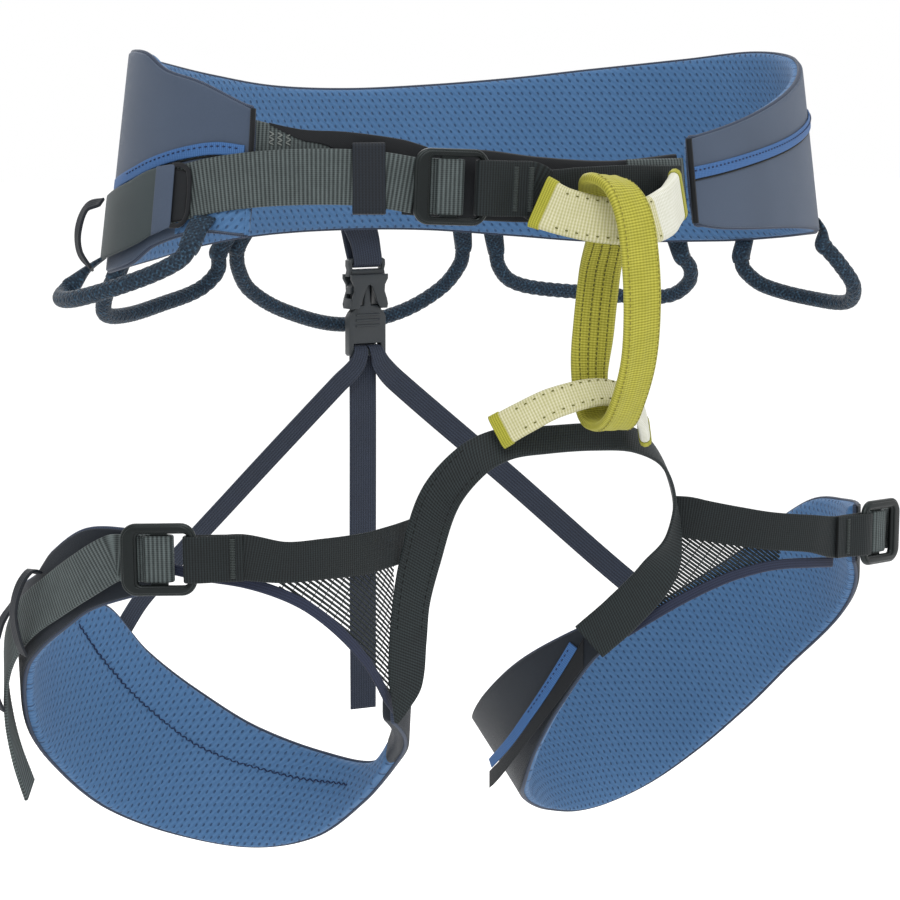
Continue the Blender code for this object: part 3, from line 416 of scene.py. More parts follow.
def smooth_fabric(name, dark, light, weave=0.0006, sheen=0.08, roughness=0.62):
    """Tightly woven stretch fabric with a soft tone change over its surface."""
    finish = Finish(name, roughness, sheen=sheen)
    u, v = finish.uv()
    threads_u = finish.ripple(finish.math("ADD", u, v), weave)
    threads_v = finish.ripple(finish.math("SUBTRACT", u, v), weave)
    weave_height = finish.mul(threads_u, threads_v)
    tone = finish.cloud(0.05, 2.0)
    fleck = finish.cloud(0.0011, 3.0)
    share = finish.mul_add(tone, 0.9, finish.mul_add(weave_height, 0.25, -0.1))
    share = finish.mul_add(fleck, 0.2, finish.math("SUBTRACT", share, 0.1))
    height = finish.mul_add(fleck, 0.4, weave_height)
    return finish.done(finish.mix(dark, light, share), height, 0.00008)


def braided_sheath(name, dark, fleck_colour):
    """Braided cord sheath: two sets of crossing strands, with lighter marker yarns."""
    finish = Finish(name, 0.6, sheen=0.05)
    u, v = finish.uv()
    one = finish.ripple(finish.mul_add(v, 0.9, u), 0.0021)
    two = finish.ripple(finish.mul_add(v, -0.9, u), 0.0021)
    strand = finish.math("MAXIMUM", one, two)
    marker = finish.step(finish.cloud(0.0011, 2.0), 0.50, 0.66)
    share = finish.mul(strand, finish.mul_add(marker, 0.6, 0.2))
    fibre = finish.cloud(0.0004, 2.0)
    height = finish.mul_add(fibre, 0.3, strand)
    return finish.done(finish.mix(dark, fleck_colour, share), height, 0.00025)


def sewing_thread(name, colour):
    """Twisted polyester thread with a slight gloss."""
    finish = Finish(name, 0.5, sheen=0.05)
    u, v = finish.uv()
    ply = finish.ripple(finish.math("ADD", u, v), 0.0005)
    dark = tuple(channel * 0.55 for channel in colour)
    fuzz = finish.cloud(0.0005, 2.0)
    share = finish.mul_add(fuzz, 0.4, finish.mul(ply, 0.7))
    return finish.done(finish.mix(dark, colour, share), ply, 0.00006)


def anodised_metal(name, colour, lighter_colour, roughness=0.32, metallic=0.75):
    """Anodised aluminium, dark in the hollows, with a painted reflection: a lighter grey painted on its
    convex edges.
    """
    finish = Finish(name, roughness, metallic, specular=0.5)
    geometry = finish.tree.nodes.new("ShaderNodeNewGeometry")
    # painted reflection: convex edges, found by pointiness, take the lighter grey in random patches
    edge_reflection = finish.step(geometry.outputs["Pointiness"], 0.515, 0.60)
    grain = finish.cloud(0.0006, 4.0, (1, 1, 3))
    patches = finish.cloud(0.009, 4.0)
    edge_reflection = finish.mul(edge_reflection, finish.mul_add(patches, 0.9, 0.1))
    colour = finish.mix(colour, lighter_colour, finish.mul_add(edge_reflection, 0.8, finish.mul(grain, 0.12)))
    fine = finish.mul_add(grain, 0.1, roughness - 0.1)
    rough = finish.mul_add(patches, 0.16, fine)
    return finish.done(colour, grain, 0.00003, rough)


def moulded_plastic(name, colour, lighter_colour):
    """Injection-moulded nylon with a fine spark-eroded grain."""
    finish = Finish(name, 0.42, specular=0.5)
    grain = finish.cloud(0.0005, 3.0)
    patches = finish.cloud(0.008, 3.0)
    share = finish.mul_add(patches, 0.5, finish.mul(grain, 0.2))
    rough = finish.mul_add(patches, 0.15, 0.33)
    return finish.done(finish.mix(colour, lighter_colour, share), grain, 0.00005, rough)


# the third colour is painted shade for the holes' recesses, and also random darker flecks
LINER = spacer_mesh("liner_spacer_mesh", shade(68, 108, 152), shade(86, 126, 170), shade(36, 64, 102))
SHELL = smooth_fabric("shell_fabric", shade(58, 70, 88), shade(84, 98, 120))
SHELL_DARK = smooth_fabric("shell_fabric_dark", shade(14, 20, 28), shade(32, 41, 52))
# black flap fabric, also used as painted shadow at the belt pad's ends and in the webbing tunnel's mouth
FLAP_AND_PAINTED_SHADOW = smooth_fabric("flap_fabric_and_painted_shadow", shade(10, 12, 14), shade(30, 34, 40), 0.0008)
# the shell fabric painted darker, olive grey: painted shade on the webbing tunnel
PAINTED_SHADE_SHELL = smooth_fabric("tunnel_fabric_painted_shade", shade(44, 54, 56), shade(72, 83, 86))
ACCENT = ribbed_webbing("accent_tape", shade(44, 82, 132), shade(72, 114, 168), 0.0009, 0.0007, 0.00006)
WEBBING_GREY = ribbed_webbing("ribbed_webbing", shade(28, 34, 35), shade(98, 108, 108), RIB_PITCH, 0.0008,
                              0.00018)
WEBBING_DARK = ribbed_webbing("dark_webbing", shade(5, 8, 9), shade(36, 44, 46), FINE_RIB_PITCH, 0.0009,
                              0.00012)
WEBBING_TWILL = ribbed_webbing("twill_webbing", shade(8, 12, 13), shade(46, 55, 57), 0.0012, 0.0011,
                               0.00012, 0.35)
ELASTIC = lengthwise_webbing("elastic_tape", shade(32, 37, 48), shade(58, 66, 82), 0.0013, 0.0011, 0.00010)
ELASTIC_DARK = lengthwise_webbing("dark_elastic_tape", shade(12, 16, 22), shade(32, 39, 48), 0.0013, 0.0011,
                                  0.00010)
BINDING = lengthwise_webbing("binding_tape", shade(24, 30, 48), shade(46, 54, 78), 0.0011, 0.0009, 0.00008)
MESH_YARN = lengthwise_webbing("mesh_yarn", shade(18, 23, 24), shade(46, 54, 55), 0.0005, 0.0007, 0.00005)
LIME = ribbed_webbing("lime_webbing", shade(134, 132, 34), shade(196, 190, 78), 0.0011, 0.0014, 0.00012)
LIME_EDGE = ribbed_webbing("lime_binding", shade(134, 134, 34), shade(188, 184, 68), 0.0010, 0.0008, 0.0001)
CREAM = ribbed_webbing("cream_sleeve", shade(180, 177, 124), shade(226, 222, 188), 0.0012, 0.0013, 0.0002)
WHITE_SLEEVE = ribbed_webbing("white_sleeve", shade(202, 202, 180), shade(240, 240, 232), 0.0012, 0.0013,
                              0.00016)
GEAR_CORD = braided_sheath("gear_loop_braid", shade(11, 23, 37), shade(60, 92, 116))
# the second colour is a painted reflection, put on the buckles' convex edges
METAL = anodised_metal("black_anodised", shade(22, 26, 27), shade(96, 106, 105))
PLASTIC = moulded_plastic("black_nylon", shade(28, 33, 36), shade(54, 61, 66))
PIPING = ribbed_webbing("piping_cord", shade(38, 46, 62), shade(70, 82, 104), 0.0008, 0.0006, 0.00006)
THREAD_NAVY = sewing_thread("thread_navy", shade(28, 46, 88))
# black thread, also used for the thin black lines of painted shadow under the belt's accent tape
THREAD_BLACK_AND_PAINTED_SHADOW = sewing_thread("thread_black_and_painted_shadow", shade(14, 17, 18))
THREAD_DARK_GREY = sewing_thread("thread_dark_grey", shade(70, 78, 77))
THREAD_GREY = sewing_thread("thread_grey", shade(138, 144, 141))
THREAD_OLIVE = sewing_thread("thread_olive", shade(116, 114, 40))
THREAD_LIME = sewing_thread("thread_lime", shade(158, 152, 58))


# ---------------------------------------------------------------- meshes
def make_object(name, points, faces, corner_uvs, finish):
    """An object from points and faces, with its UV layer in metres."""
    mesh = bpy.data.meshes.new(name)
    mesh.from_pydata(points, [], faces)
    layer = mesh.uv_layers.new(name="UVMap")
    layer.data.foreach_set("uv", [value for pair in corner_uvs for value in pair])
    mesh.polygons.foreach_set("use_smooth", [True] * len(faces))
    mesh.materials.append(finish)
    mesh.validate()
    bm = bmesh.new()
    bm.from_mesh(mesh)
    bmesh.ops.recalc_face_normals(bm, faces=bm.faces)
    bm.to_mesh(mesh)
    bm.free()
    obj = bpy.data.objects.new(name, mesh)
    bpy.context.scene.collection.objects.link(obj)
    return obj


def skin(name, loops, uvs, finish, closed=False):
    """A closed skin through matching loops of points, capped at both ends unless closed.

    uvs holds one row per loop (one more if closed), each one entry longer than the loop.
    """
    count = len(loops[0])
    points = [point for loop in loops for point in loop]
    faces, corner_uvs = [], []
    for i in range(len(loops) if closed else len(loops) - 1):
        following = (i + 1) % len(loops)
        for j in range(count):
            k = (j + 1) % count
            faces.append((i * count + j, i * count + k, following * count + k, following * count + j))
            corner_uvs += [uvs[i][j], uvs[i][j + 1], uvs[i + 1][j + 1], uvs[i + 1][j]]
    if not closed:
        last = (len(loops) - 1) * count
        faces.append(tuple(range(count))[::-1])
        corner_uvs += uvs[0][:count][::-1]
        faces.append(tuple(range(last, last + count)))
        corner_uvs += uvs[-1][:count]
    return make_object(name, points, faces, corner_uvs, finish)


def dress(piece, body, slot, *nodes):
    """Let a piece ride on a body and hide the CAD nodes it stands for; the finish slot is not used."""
    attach(piece, body)
    if nodes:
        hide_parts(*nodes)
    return piece


def frames(path, closed=False):
    """(place, along, outward, across, width) for each row of a sampled strap path."""
    places = [mm(row[:3]) for row in path]
    count = len(path)
    result = []
    for i, row in enumerate(path):
        ahead = places[(i + 1) % count] if closed else places[min(i + 1, count - 1)]
        behind = places[i - 1] if closed else places[max(i - 1, 0)]
        along = (ahead - behind).normalized()
        outward = Vector(row[3:6])
        outward = (outward - along * outward.dot(along)).normalized()
        result.append((places[i], along, outward, along.cross(outward), row[6] * MM))
    return result


def strap_section(width, thickness, steps, groove):
    """(across, outward) points round a strap's cross section with rounded edges."""
    half = thickness / 2
    reach = width / 2 - half
    face = [reach * (2 * i / steps - 1) for i in range(steps + 1)]
    edge = [math.radians(angle) for angle in (54, 18, -18, -54)]
    section = [(y, half + groove(y)) for y in face]
    section += [(reach + half * math.cos(a), half * math.sin(a)) for a in edge]
    section += [(y, -half - groove(y)) for y in face[::-1]]
    section += [(-reach - half * math.cos(a), -half * math.sin(a)) for a in edge]
    return section


def strap(name, path, thickness, finish, closed=False, rib=0.0, pitch=RIB_PITCH, steps=8,
          groove=None, lift=0.0, wider=0.0):
    """A woven strap along a sampled path, with real ribs across it where rib is set."""
    groove = groove or (lambda y: 0.0)
    loops, uvs, length, before = [], [], 0.0, None
    for place, _, outward, across, width in frames(path, closed):
        if before:
            length += (place - before).length
        before = place
        ridge = rib * (1 - math.cos(2 * math.pi * length / pitch)) - rib
        section = strap_section(width + wider, thickness + ridge, steps, groove)
        loops.append([place + across * y + outward * (z + lift) for y, z in section])
        uvs.append([(length, y) for y, _ in section + section[:1]])
    if closed:
        length += (mm(path[0][:3]) - before).length
        uvs.append([(length, y) for _, y in uvs[0]])
    return skin(name, loops, uvs, finish, closed)


def band_ends(length, radius, spacing):
    """Distances along a band, closer together where its ends are rounded off."""
    near = [radius * share for share in (0, 0.08, 0.25, 0.5, 1.0)]
    count = max(2, round((length - 2 * radius) / spacing))
    middle = [radius + (length - 2 * radius) * i / count for i in range(1, count)]
    return near + middle + [length - x for x in near[::-1]]


def band(name, place, edges, start, end, layer, finish, fullness=8.0, middle=0.5, rows=14,
         spacing=0.003, round_off=0.0012, dent=None):
    """A layer of fabric round the belt or a leg, crowned across and rounded at its ends.

    edges(angle) gives (inset, height) of the lower and upper edge, and dent(angle, share)
    how much of the thickness is left there.
    """
    fine = 400
    angles = [start + (end - start) * i / fine for i in range(fine + 1)]
    far = [0.0]
    for a, b in zip(angles, angles[1:]):
        far.append(far[-1] + (place(b, 0, 0) - place(a, 0, 0)).length)
    loops, uvs = [], []
    k = 0
    seam_offset = layer[0] + (layer[1] - layer[0]) * middle
    shares = [0.5 - 0.5 * math.cos(math.pi * i / rows) for i in range(rows + 1)]
    for x in band_ends(far[-1], round_off, spacing):
        while k < fine - 1 and far[k + 1] < x:
            k += 1
        angle = angles[k] + (angles[k + 1] - angles[k]) * (x - far[k]) / max(far[k + 1] - far[k], 1e-9)
        (low_inset, low), (high_inset, high) = edges(angle)
        from_end = min(x, far[-1] - x) / round_off
        end_fullness = 1.0 if from_end >= 1 else 0.08 + 0.92 * math.sqrt(1 - (1 - from_end) ** 2)
        loop, uv = [], []
        for side, row in ((1, shares), (0, shares[-2:0:-1])):
            for t in row:
                crown = (1 - abs(2 * t - 1) ** fullness) ** (1 / fullness) * end_fullness
                if dent:
                    crown *= dent(angle, t)
                offset = seam_offset + (layer[side] - seam_offset) * crown
                height = low + (high - low) * t
                inset = low_inset + (high_inset - low_inset) * t
                loop.append(place(angle, height, offset - inset))
                uv.append((x, height))
        loops.append(loop)
        uvs.append(uv + uv[:1])
    return skin(name, loops, uvs, finish)


def tube(name, route, radius, finish, sides=12, closed=False, relief=None):
    """A round cord along a sampled route in mm; relief(length, turn) adds to its radius."""
    places = [mm(row[:3]) for row in route]
    count = len(places)
    loops, uvs, length = [], [], 0.0
    across = None
    for i, place in enumerate(places):
        ahead = places[(i + 1) % count] if closed else places[min(i + 1, count - 1)]
        behind = places[i - 1] if closed else places[max(i - 1, 0)]
        along = (ahead - behind).normalized()
        if across is None:
            across = along.orthogonal().normalized()
        across = (across - along * across.dot(along)).normalized()
        other = along.cross(across)
        if i:
            length += (place - places[i - 1]).length
        loop, uv = [], []
        for j in range(sides):
            turn = 2 * math.pi * j / sides
            reach = radius + (relief(length, turn) if relief else 0.0)
            loop.append(place + (across * math.cos(turn) + other * math.sin(turn)) * reach)
            uv.append((length, turn * radius))
        loops.append(loop)
        uvs.append(uv + [(length, 2 * math.pi * radius)])
    if closed:
        length += (places[0] - places[-1]).length
        uvs.append([(length, v) for _, v in uvs[0]])
    return skin(name, loops, uvs, finish, closed)


def slab_bmesh(outlines, bottom, top, edge):
    """A flat plate from 2D outlines in metres (the later ones are holes), with round rims."""
    curve = bpy.data.curves.new("outline", "CURVE")
    curve.dimensions = "2D"
    curve.fill_mode = "BOTH"
    curve.extrude = (top - bottom) / 2 - edge
    curve.bevel_depth = edge
    curve.bevel_resolution = 3
    curve.offset = -edge
    for outline in outlines:
        spline = curve.splines.new("POLY")
        spline.points.add(len(outline) - 1)
        for point, (x, y) in zip(spline.points, outline):
            point.co = (x, y, 0, 1)
        spline.use_cyclic_u = True
    source = bpy.data.objects.new("outline", curve)
    bpy.context.scene.collection.objects.link(source)
    bpy.context.view_layer.update()
    evaluated = source.evaluated_get(bpy.context.evaluated_depsgraph_get())
    mesh = bpy.data.meshes.new_from_object(evaluated)
    bpy.data.objects.remove(source)
    bm = bmesh.new()
    bm.from_mesh(mesh)
    bpy.data.meshes.remove(mesh)
    bmesh.ops.remove_doubles(bm, verts=bm.verts, dist=0.00001)
    bmesh.ops.translate(bm, verts=bm.verts, vec=(0, 0, (bottom + top) / 2))
    return bm


def slabs(name, parts, matrix, finish):
    """One object from several plates, each (outlines, bottom, top, edge)."""
    mesh = bpy.data.meshes.new(name)
    whole = bmesh.new()
    for outlines, bottom, top, edge in parts:
        bm = slab_bmesh(outlines, bottom, top, edge)
        bmesh.ops.transform(bm, matrix=matrix, verts=bm.verts)
        bmesh.ops.recalc_face_normals(bm, faces=bm.faces)
        piece = bpy.data.meshes.new("piece")
        bm.to_mesh(piece)
        bm.free()
        whole.from_mesh(piece)
        bpy.data.meshes.remove(piece)
    whole.to_mesh(mesh)
    whole.free()
    mesh.polygons.foreach_set("use_smooth", [True] * len(mesh.polygons))
    mesh.materials.clear()
    mesh.materials.append(finish)
    mesh.set_sharp_from_angle(angle=math.radians(38))
    obj = bpy.data.objects.new(name, mesh)
    bpy.context.scene.collection.objects.link(obj)
    return obj


def rounded_outline(low, high, radius, corner_steps=8):
    """Corners of a rounded rectangle, anticlockwise, low and high as (x, y)."""
    points = []
    centres = [(high[0] - radius, high[1] - radius, 0), (low[0] + radius, high[1] - radius, 90),
               (low[0] + radius, low[1] + radius, 180), (high[0] - radius, low[1] + radius, 270)]
    for x, y, start in centres:
        for i in range(corner_steps + 1):
            a = math.radians(start + 90 * i / corner_steps)
            points.append((x + radius * math.cos(a), y + radius * math.sin(a)))
    return points


# ---------------------------------------------------------------- stitching
def resample(line, spacing):
    """Even steps along a line of (place, across, outward)."""
    far = [0.0]
    for a, b in zip(line, line[1:]):
        far.append(far[-1] + (a[0] - b[0]).length)
    count = max(1, int(far[-1] / spacing))
    out, k = [], 0
    for i in range(count + 1):
        target = far[-1] * i / count
        while k < len(line) - 2 and far[k + 1] < target:
            k += 1
        share = (target - far[k]) / max(far[k + 1] - far[k], 1e-9)
        out.append([a.lerp(b, share) for a, b in zip(line[k], line[k + 1])])
    return out


def running_stitch(line, pitch, share=0.6):
    """Stitches laid end to end along a line, with a gap between them."""
    places = resample(line, pitch)
    return [(a[0], a[0].lerp(b[0], share), a[2]) for a, b in zip(places, places[1:])]


def satin_stitch(line, width, pitch):
    """Close stitches lying across a line, as in a bar tack."""
    return [(place - across * width / 2, place + across * width / 2, outward)
            for place, across, outward in resample(line, pitch)]


def zigzag_stitch(line, width, pitch):
    """Stitches that cross a line from side to side."""
    places = resample(line, pitch)
    segments = []
    for i, (a, b) in enumerate(zip(places, places[1:])):
        sign = 1 if i % 2 else -1
        segments.append((a[0] - a[1] * sign * width / 2, b[0] + b[1] * sign * width / 2, a[2]))
    return segments


def threads(name, segments, diameter, finish, body, slot):
    """Short stitches as one piece, each a little bead that dips into the fabric at its ends."""
    points, faces, corner_uvs = [], [], []
    profile = ((0.0, -0.45, 0.35), (0.1, 0.0, 0.8), (0.5, 0.3, 1.0), (0.9, 0.0, 0.8), (1.0, -0.45, 0.35))
    sides = 6
    for start, end, outward in segments:
        along = end - start
        across = along.normalized().cross(outward).normalized()
        base = len(points)
        for share, raised, scale in profile:
            centre = start + along * share + outward * diameter * raised
            for j in range(sides):
                turn = 2 * math.pi * j / sides
                spoke = across * math.cos(turn) + outward * math.sin(turn)
                points.append(centre + spoke * diameter / 2 * scale)
        for i in range(len(profile) - 1):
            for j in range(sides):
                k = (j + 1) % sides
                row, following = base + i * sides, base + (i + 1) * sides
                faces.append((row + j, row + k, following + k, following + j))
                u0, u1 = profile[i][0] * along.length, profile[i + 1][0] * along.length
                v0, v1 = j * diameter / 2, (j + 1) * diameter / 2
                corner_uvs += [(u0, v0), (u0, v1), (u1, v1), (u1, v0)]
        last = base + (len(profile) - 1) * sides
        faces.append(tuple(range(base, base + sides))[::-1])
        faces.append(tuple(range(last, last + sides)))
        corner_uvs += [(0.0, 0.0)] * (2 * sides)
    return dress(make_object(name, points, faces, corner_uvs, finish), body, slot)


def surface_line(place, rows, offset, count=60):
    """A line over the belt or a leg through rows of (angle, height in mm)."""
    out = []
    for i in range(count + 1):
        angle = rows[0][0] + (rows[-1][0] - rows[0][0]) * i / count
        height = blend(rows, angle)[0] * MM
        here = place(angle, height, offset)
        outward = (place(angle, height, offset + 1) - here).normalized()
        ahead = place(angle + 0.1, blend(rows, angle + 0.1)[0] * MM, offset)
        behind = place(angle - 0.1, blend(rows, angle - 0.1)[0] * MM, offset)
        along = (ahead - behind).normalized()
        out.append((here, along.cross(outward).normalized(), outward))
    return out


def lay_on(piece, line):
    """The line moved outward on to the first surface of a piece that it meets."""
    tree = BVHTree.FromPolygons([v.co for v in piece.data.vertices],
                                [tuple(p.vertices) for p in piece.data.polygons])
    laid = []
    for place, across, outward in line:
        hit = tree.ray_cast(place, outward, 0.05)[0]
        if hit is not None:
            laid.append((hit, across, -outward))
    return laid


def strap_line(path, across_mm, lift, start=0.0, end=1.0):
    """A line along part of a strap, at a distance from its middle, on its outer face."""
    places = frames(path)
    first, last = round(start * (len(places) - 1)), round(end * (len(places) - 1))
    return [(place + across * across_mm * MM + outward * lift, across, outward)
            for place, _, outward, across, _ in places[first:last + 1]]


# ---------------------------------------------------------------- waist belt
def soft_pad(length_noise, seed):
    """Fullness of a pad with the slight unevenness of foam behind knitted fabric."""
    def dent(angle, t):
        """How much of the thickness is left at a place on the pad."""
        return 1.0 - 0.05 * (1 + noise.noise(Vector((angle / length_noise, t * 2.2, seed))))
    return dent


def edge_loop(place, edges, start, end, offset, steps=160):
    """The closed outline of a band, in mm: along the top, down, back along the bottom, up."""
    top, bottom = [], []
    for i in range(steps + 1):
        angle = start + (end - start) * i / steps
        (low_inset, low), (high_inset, high) = edges(angle)
        top.append(place(angle, high, offset - high_inset) / MM)
        bottom.append(place(angle, low, offset - low_inset) / MM)
    return [tuple(point) for point in top + bottom[::-1]]


def build_pad(prefix, place, edges, start, end, liner_end, rows, cover, dent):
    """The padded liner that faces the wearer, the shell over it and the piping between."""
    liner = band(prefix + "_liner_pad", place, edges, start, liner_end, PAD_LAYER, LINER, fullness=4.5,
                 middle=0.96, rows=rows[0], spacing=0.0035, round_off=0.004, dent=dent)
    dress(liner, "harness", "liner", prefix + "_liner", prefix + "_foam")
    shell = band(prefix + "_shell_cover", place, edges, start, end, SHELL_LAYER, cover, fullness=16,
                 rows=rows[1], spacing=0.0035, round_off=0.0008)
    dress(shell, "harness", "shell", prefix + "_shell")
    outline = edge_loop(place, edges, start, end, -0.0028)
    piping = tube(prefix + "_piping", smooth_route(outline, 1.6, True), PIPING_RADIUS, PIPING, 8, True)
    dress(piping, "harness", "binding")


def build_belt_pad():
    """The belt's pad, crowned across and slightly uneven."""
    build_pad("belt", belt_point, belt_edges, PAD_FROM, PAD_TO, PAD_TO, (22, 18), SHELL, soft_pad(9.0, 1.3))


def build_belt_ends():
    """The front ends of the belt pad, each a black strip of painted shadow for the dark gap at the shell's
    end, liner-coloured below the split, and the liner that shows below the hip webbing.
    """
    for side, angle, split in (("right", PAD_TO + 0.1, -0.010), ("left", PAD_FROM - 0.2, -0.030)):
        (_, low), (_, high) = belt_edges(angle)
        # the upper strip is black painted shadow, the dark gap at the shell's end; the lower strip has the
        # liner's own colour
        for part, bottom, top, cover in (("upper", max(low, split), high + 0.0004, FLAP_AND_PAINTED_SHADOW),
                                         ("lower", low, split, LINER)):
            if top - bottom < 0.004:
                continue
            rows = [belt_row(angle, bottom + (top - bottom) * share, -0.0018, 2.2)
                    for share in (0, 0.33, 0.66, 1)]
            end = strap(f"belt_end_{side}_{part}", smooth_route(rows, 0.8), 0.0030, cover, steps=8)
            dress(end, "harness", "binding")
    lining = band("belt_hip_lining", belt_point, lambda a: ((0, belt_edges(a)[0][1] + 0.0006), (0, -0.0100)),
                  284.5, 300.2, (-0.0011, -0.0008), LINER, fullness=10, rows=8, round_off=0.0005)
    dress(lining, "harness", "liner")


def plain_edges(bottom, top):
    """Edge function from two tables of (angle, height in mm)."""
    return lambda a: ((0, blend(bottom, a)[0] * MM), (0, blend(top, a)[0] * MM))


def build_tongues():
    """The ribbed tongue and its cover behind the buckle, and the flap on the left."""
    tongue_top = [(300, 23), (309, 19), (317, 18), (326, 15), (330, 12)]
    tongue_bottom = [(300, -10), (330, -9)]
    tongue = band("belt_tongue_ribbed", belt_point, plain_edges(tongue_bottom, tongue_top), 300.2, 330,
                  TONGUE_LAYER, WEBBING_GREY, rows=12, spacing=0.0015, round_off=0.0006)
    dress(tongue, "harness", "webbing_dark", "belt_tongue_right")
    cover_bottom = [(303, 21.4), (309, 15.2), (314, 12.5), (330, -9)]
    cover_top = [(a, h + 0.4) for a, h in tongue_top]
    cover = band("belt_tongue_cover", belt_point, plain_edges(cover_bottom, cover_top), 303, 330,
                 (TONGUE_LAYER[1], TONGUE_LAYER[1] + 0.0006), FLAP_AND_PAINTED_SHADOW, rows=10, spacing=0.0015,
                 round_off=0.0006)
    dress(cover, "harness", "webbing_dark")
    flap_top = [(-34, 12), (-21, 11), (-12, 8), (0, 6), (12, 8)]
    flap_bottom = [(-34, -14), (-12, -18), (12, -16)]
    flap = band("belt_flap", belt_point, plain_edges(flap_bottom, flap_top), -34, 12.6, FLAP_LAYER, FLAP_AND_PAINTED_SHADOW,
                rows=10, spacing=0.003, round_off=0.0006)
    dress(flap, "harness", "webbing_dark", "belt_tongue_left")
    tacks = []
    for angle, low, high in ((303.6, 13.2, 18.5), (305.2, 13.0, 18.0), (306.8, 13.0, 17.4)):
        line = [(belt_point(angle, h * MM, -0.0038), Vector((0.7, -0.7, 0)), belt_outward(angle, 0))
                for h in (low, high)]
        tacks += zigzag_stitch(line, 0.0021, 0.0009)
    threads("tongue_bar_tack", tacks, 0.0006, THREAD_GREY, "harness", "webbing_grey")


def build_belt_accents():
    """Bright tape on both sides of the belt, with its stitches, and a thin black line of painted shadow
    below it.
    """
    trim_right = [(256, -5), (268, 0.6), (276, 5.3), (285, 9.6), (293, 11.8), (299, 10.6)]
    trim_left = [(14, 0.3), (20, 2.4), (29, 6), (40, 10.5), (55, 17), (68, 22), (84, 25), (100, 22)]
    count = 60
    for side, table, stitched in (("right", trim_right, (266, 298)), ("left", trim_left, (14.5, 99))):
        start, end = table[0][0], table[-1][0]
        low = [(angle, height - 2.5) for angle, height in table]
        high = [(angle, height + 2.5) for angle, height in table]
        tape = band("belt_accent_" + side, belt_point, plain_edges(low, high), start, end,
                    TRIM_LAYER, ACCENT, fullness=6, rows=8, spacing=0.002, round_off=0.0006)
        dress(tape, "harness", "accent", "belt_trim_" + side)
        rows = [(a, h + 0.9) for a, h in table]
        line = surface_line(belt_point, rows, -0.0001, count)
        first, last = [round(count * (angle - start) / (end - start)) for angle in stitched]
        threads("belt_accent_stitches_" + side, running_stitch(line[first:last + 1], 0.0026, 0.5), 0.0006,
                THREAD_NAVY, "harness", "accent")
        # painted shadow: a thin black cord just below the tape stands for the shadow under its edge
        shadow_rows = [(a, h - 3.1) for a, h in table]
        seam = [tuple(belt_point(a, blend(shadow_rows, a)[0] * MM, -0.00095) / MM)
                for a in [start + (end - start) * i / 40 for i in range(41)]]
        cord = tube("belt_accent_painted_shadow_" + side, smooth_route(seam, 1.2), 0.00035, THREAD_BLACK_AND_PAINTED_SHADOW, 6)
        dress(cord, "harness", "accent")


def build_webbing_tunnel():
    """The fabric tunnel that the waist webbing comes out of, in the shell fabric painted darker olive grey
    as painted shade, and its facing in the shell's own colour.
    """
    tunnel_top = [(255, -9), (269, -2.6), (276, 2.2), (281, 4.6)]
    tunnel_bottom = [(255, -36), (268, -31), (276, -26), (281, -21)]
    # painted shade: the tunnel cover is the shell fabric in a darker olive grey
    tunnel = band("webbing_tunnel_cover", belt_point, plain_edges(tunnel_bottom, tunnel_top), 255, 281,
                  TUNNEL_LAYER, PAINTED_SHADE_SHELL, fullness=10, rows=14, spacing=0.0016, round_off=0.0006)
    dress(tunnel, "harness", "shell", "webbing_tunnel")
    facing = band("tunnel_facing", belt_point, plain_edges([(279.6, -23.2), (284.6, -19.4)],
                                                           [(279.6, 4.2), (284.6, 5.6)]), 279.6, 284.6,
                  (0.0021, 0.0027), SHELL, fullness=10, rows=12, spacing=0.0016, round_off=0.0006)
    dress(facing, "harness", "shell")


def build_tunnel_mouth():
    """Painted shadow in the mouth of the tunnel, from which the webbing comes out: a black rim round the
    opening and a black sheet inside it.
    """
    corners = [(284.0, 4.9), (286.2, 5.0), (287.6, 3.4), (288.2, 0), (288.3, -13), (287.7, -16.6),
               (286.4, -18.6), (284.2, -18.9)]
    # painted shadow: the black rim and the black sheet inside it stand for the shade in the opening
    rows = [belt_row(angle, height * MM, 0.0018, 2.0) for angle, height in corners]
    rim = strap("tunnel_mouth_painted_shadow_rim", smooth_route(rows, 0.7), 0.0016, FLAP_AND_PAINTED_SHADOW, steps=6)
    dress(rim, "harness", "shell")
    shadow = band("tunnel_mouth_painted_shadow", belt_point, plain_edges([(284.2, -17.6), (287.4, -16.6)],
                                                                 [(284.2, 3.8), (287.4, 2.8)]), 284.2, 287.6,
                  (0.0011, 0.0016), FLAP_AND_PAINTED_SHADOW, rows=8, spacing=0.001, round_off=0.0004)
    dress(shadow, "harness", "shell")


def buckle_matrix(placing):
    """Local X towards the sewn strap, local Z outward, from a buckle's placing row."""
    origin, along, outward = placing
    z = Vector(outward).normalized()
    x = (Vector(along) - z * Vector(along).dot(z)).normalized()
    rotation = Matrix((x, z.cross(x), z)).transposed().to_4x4()
    return Matrix.Translation(mm(origin)) @ rotation


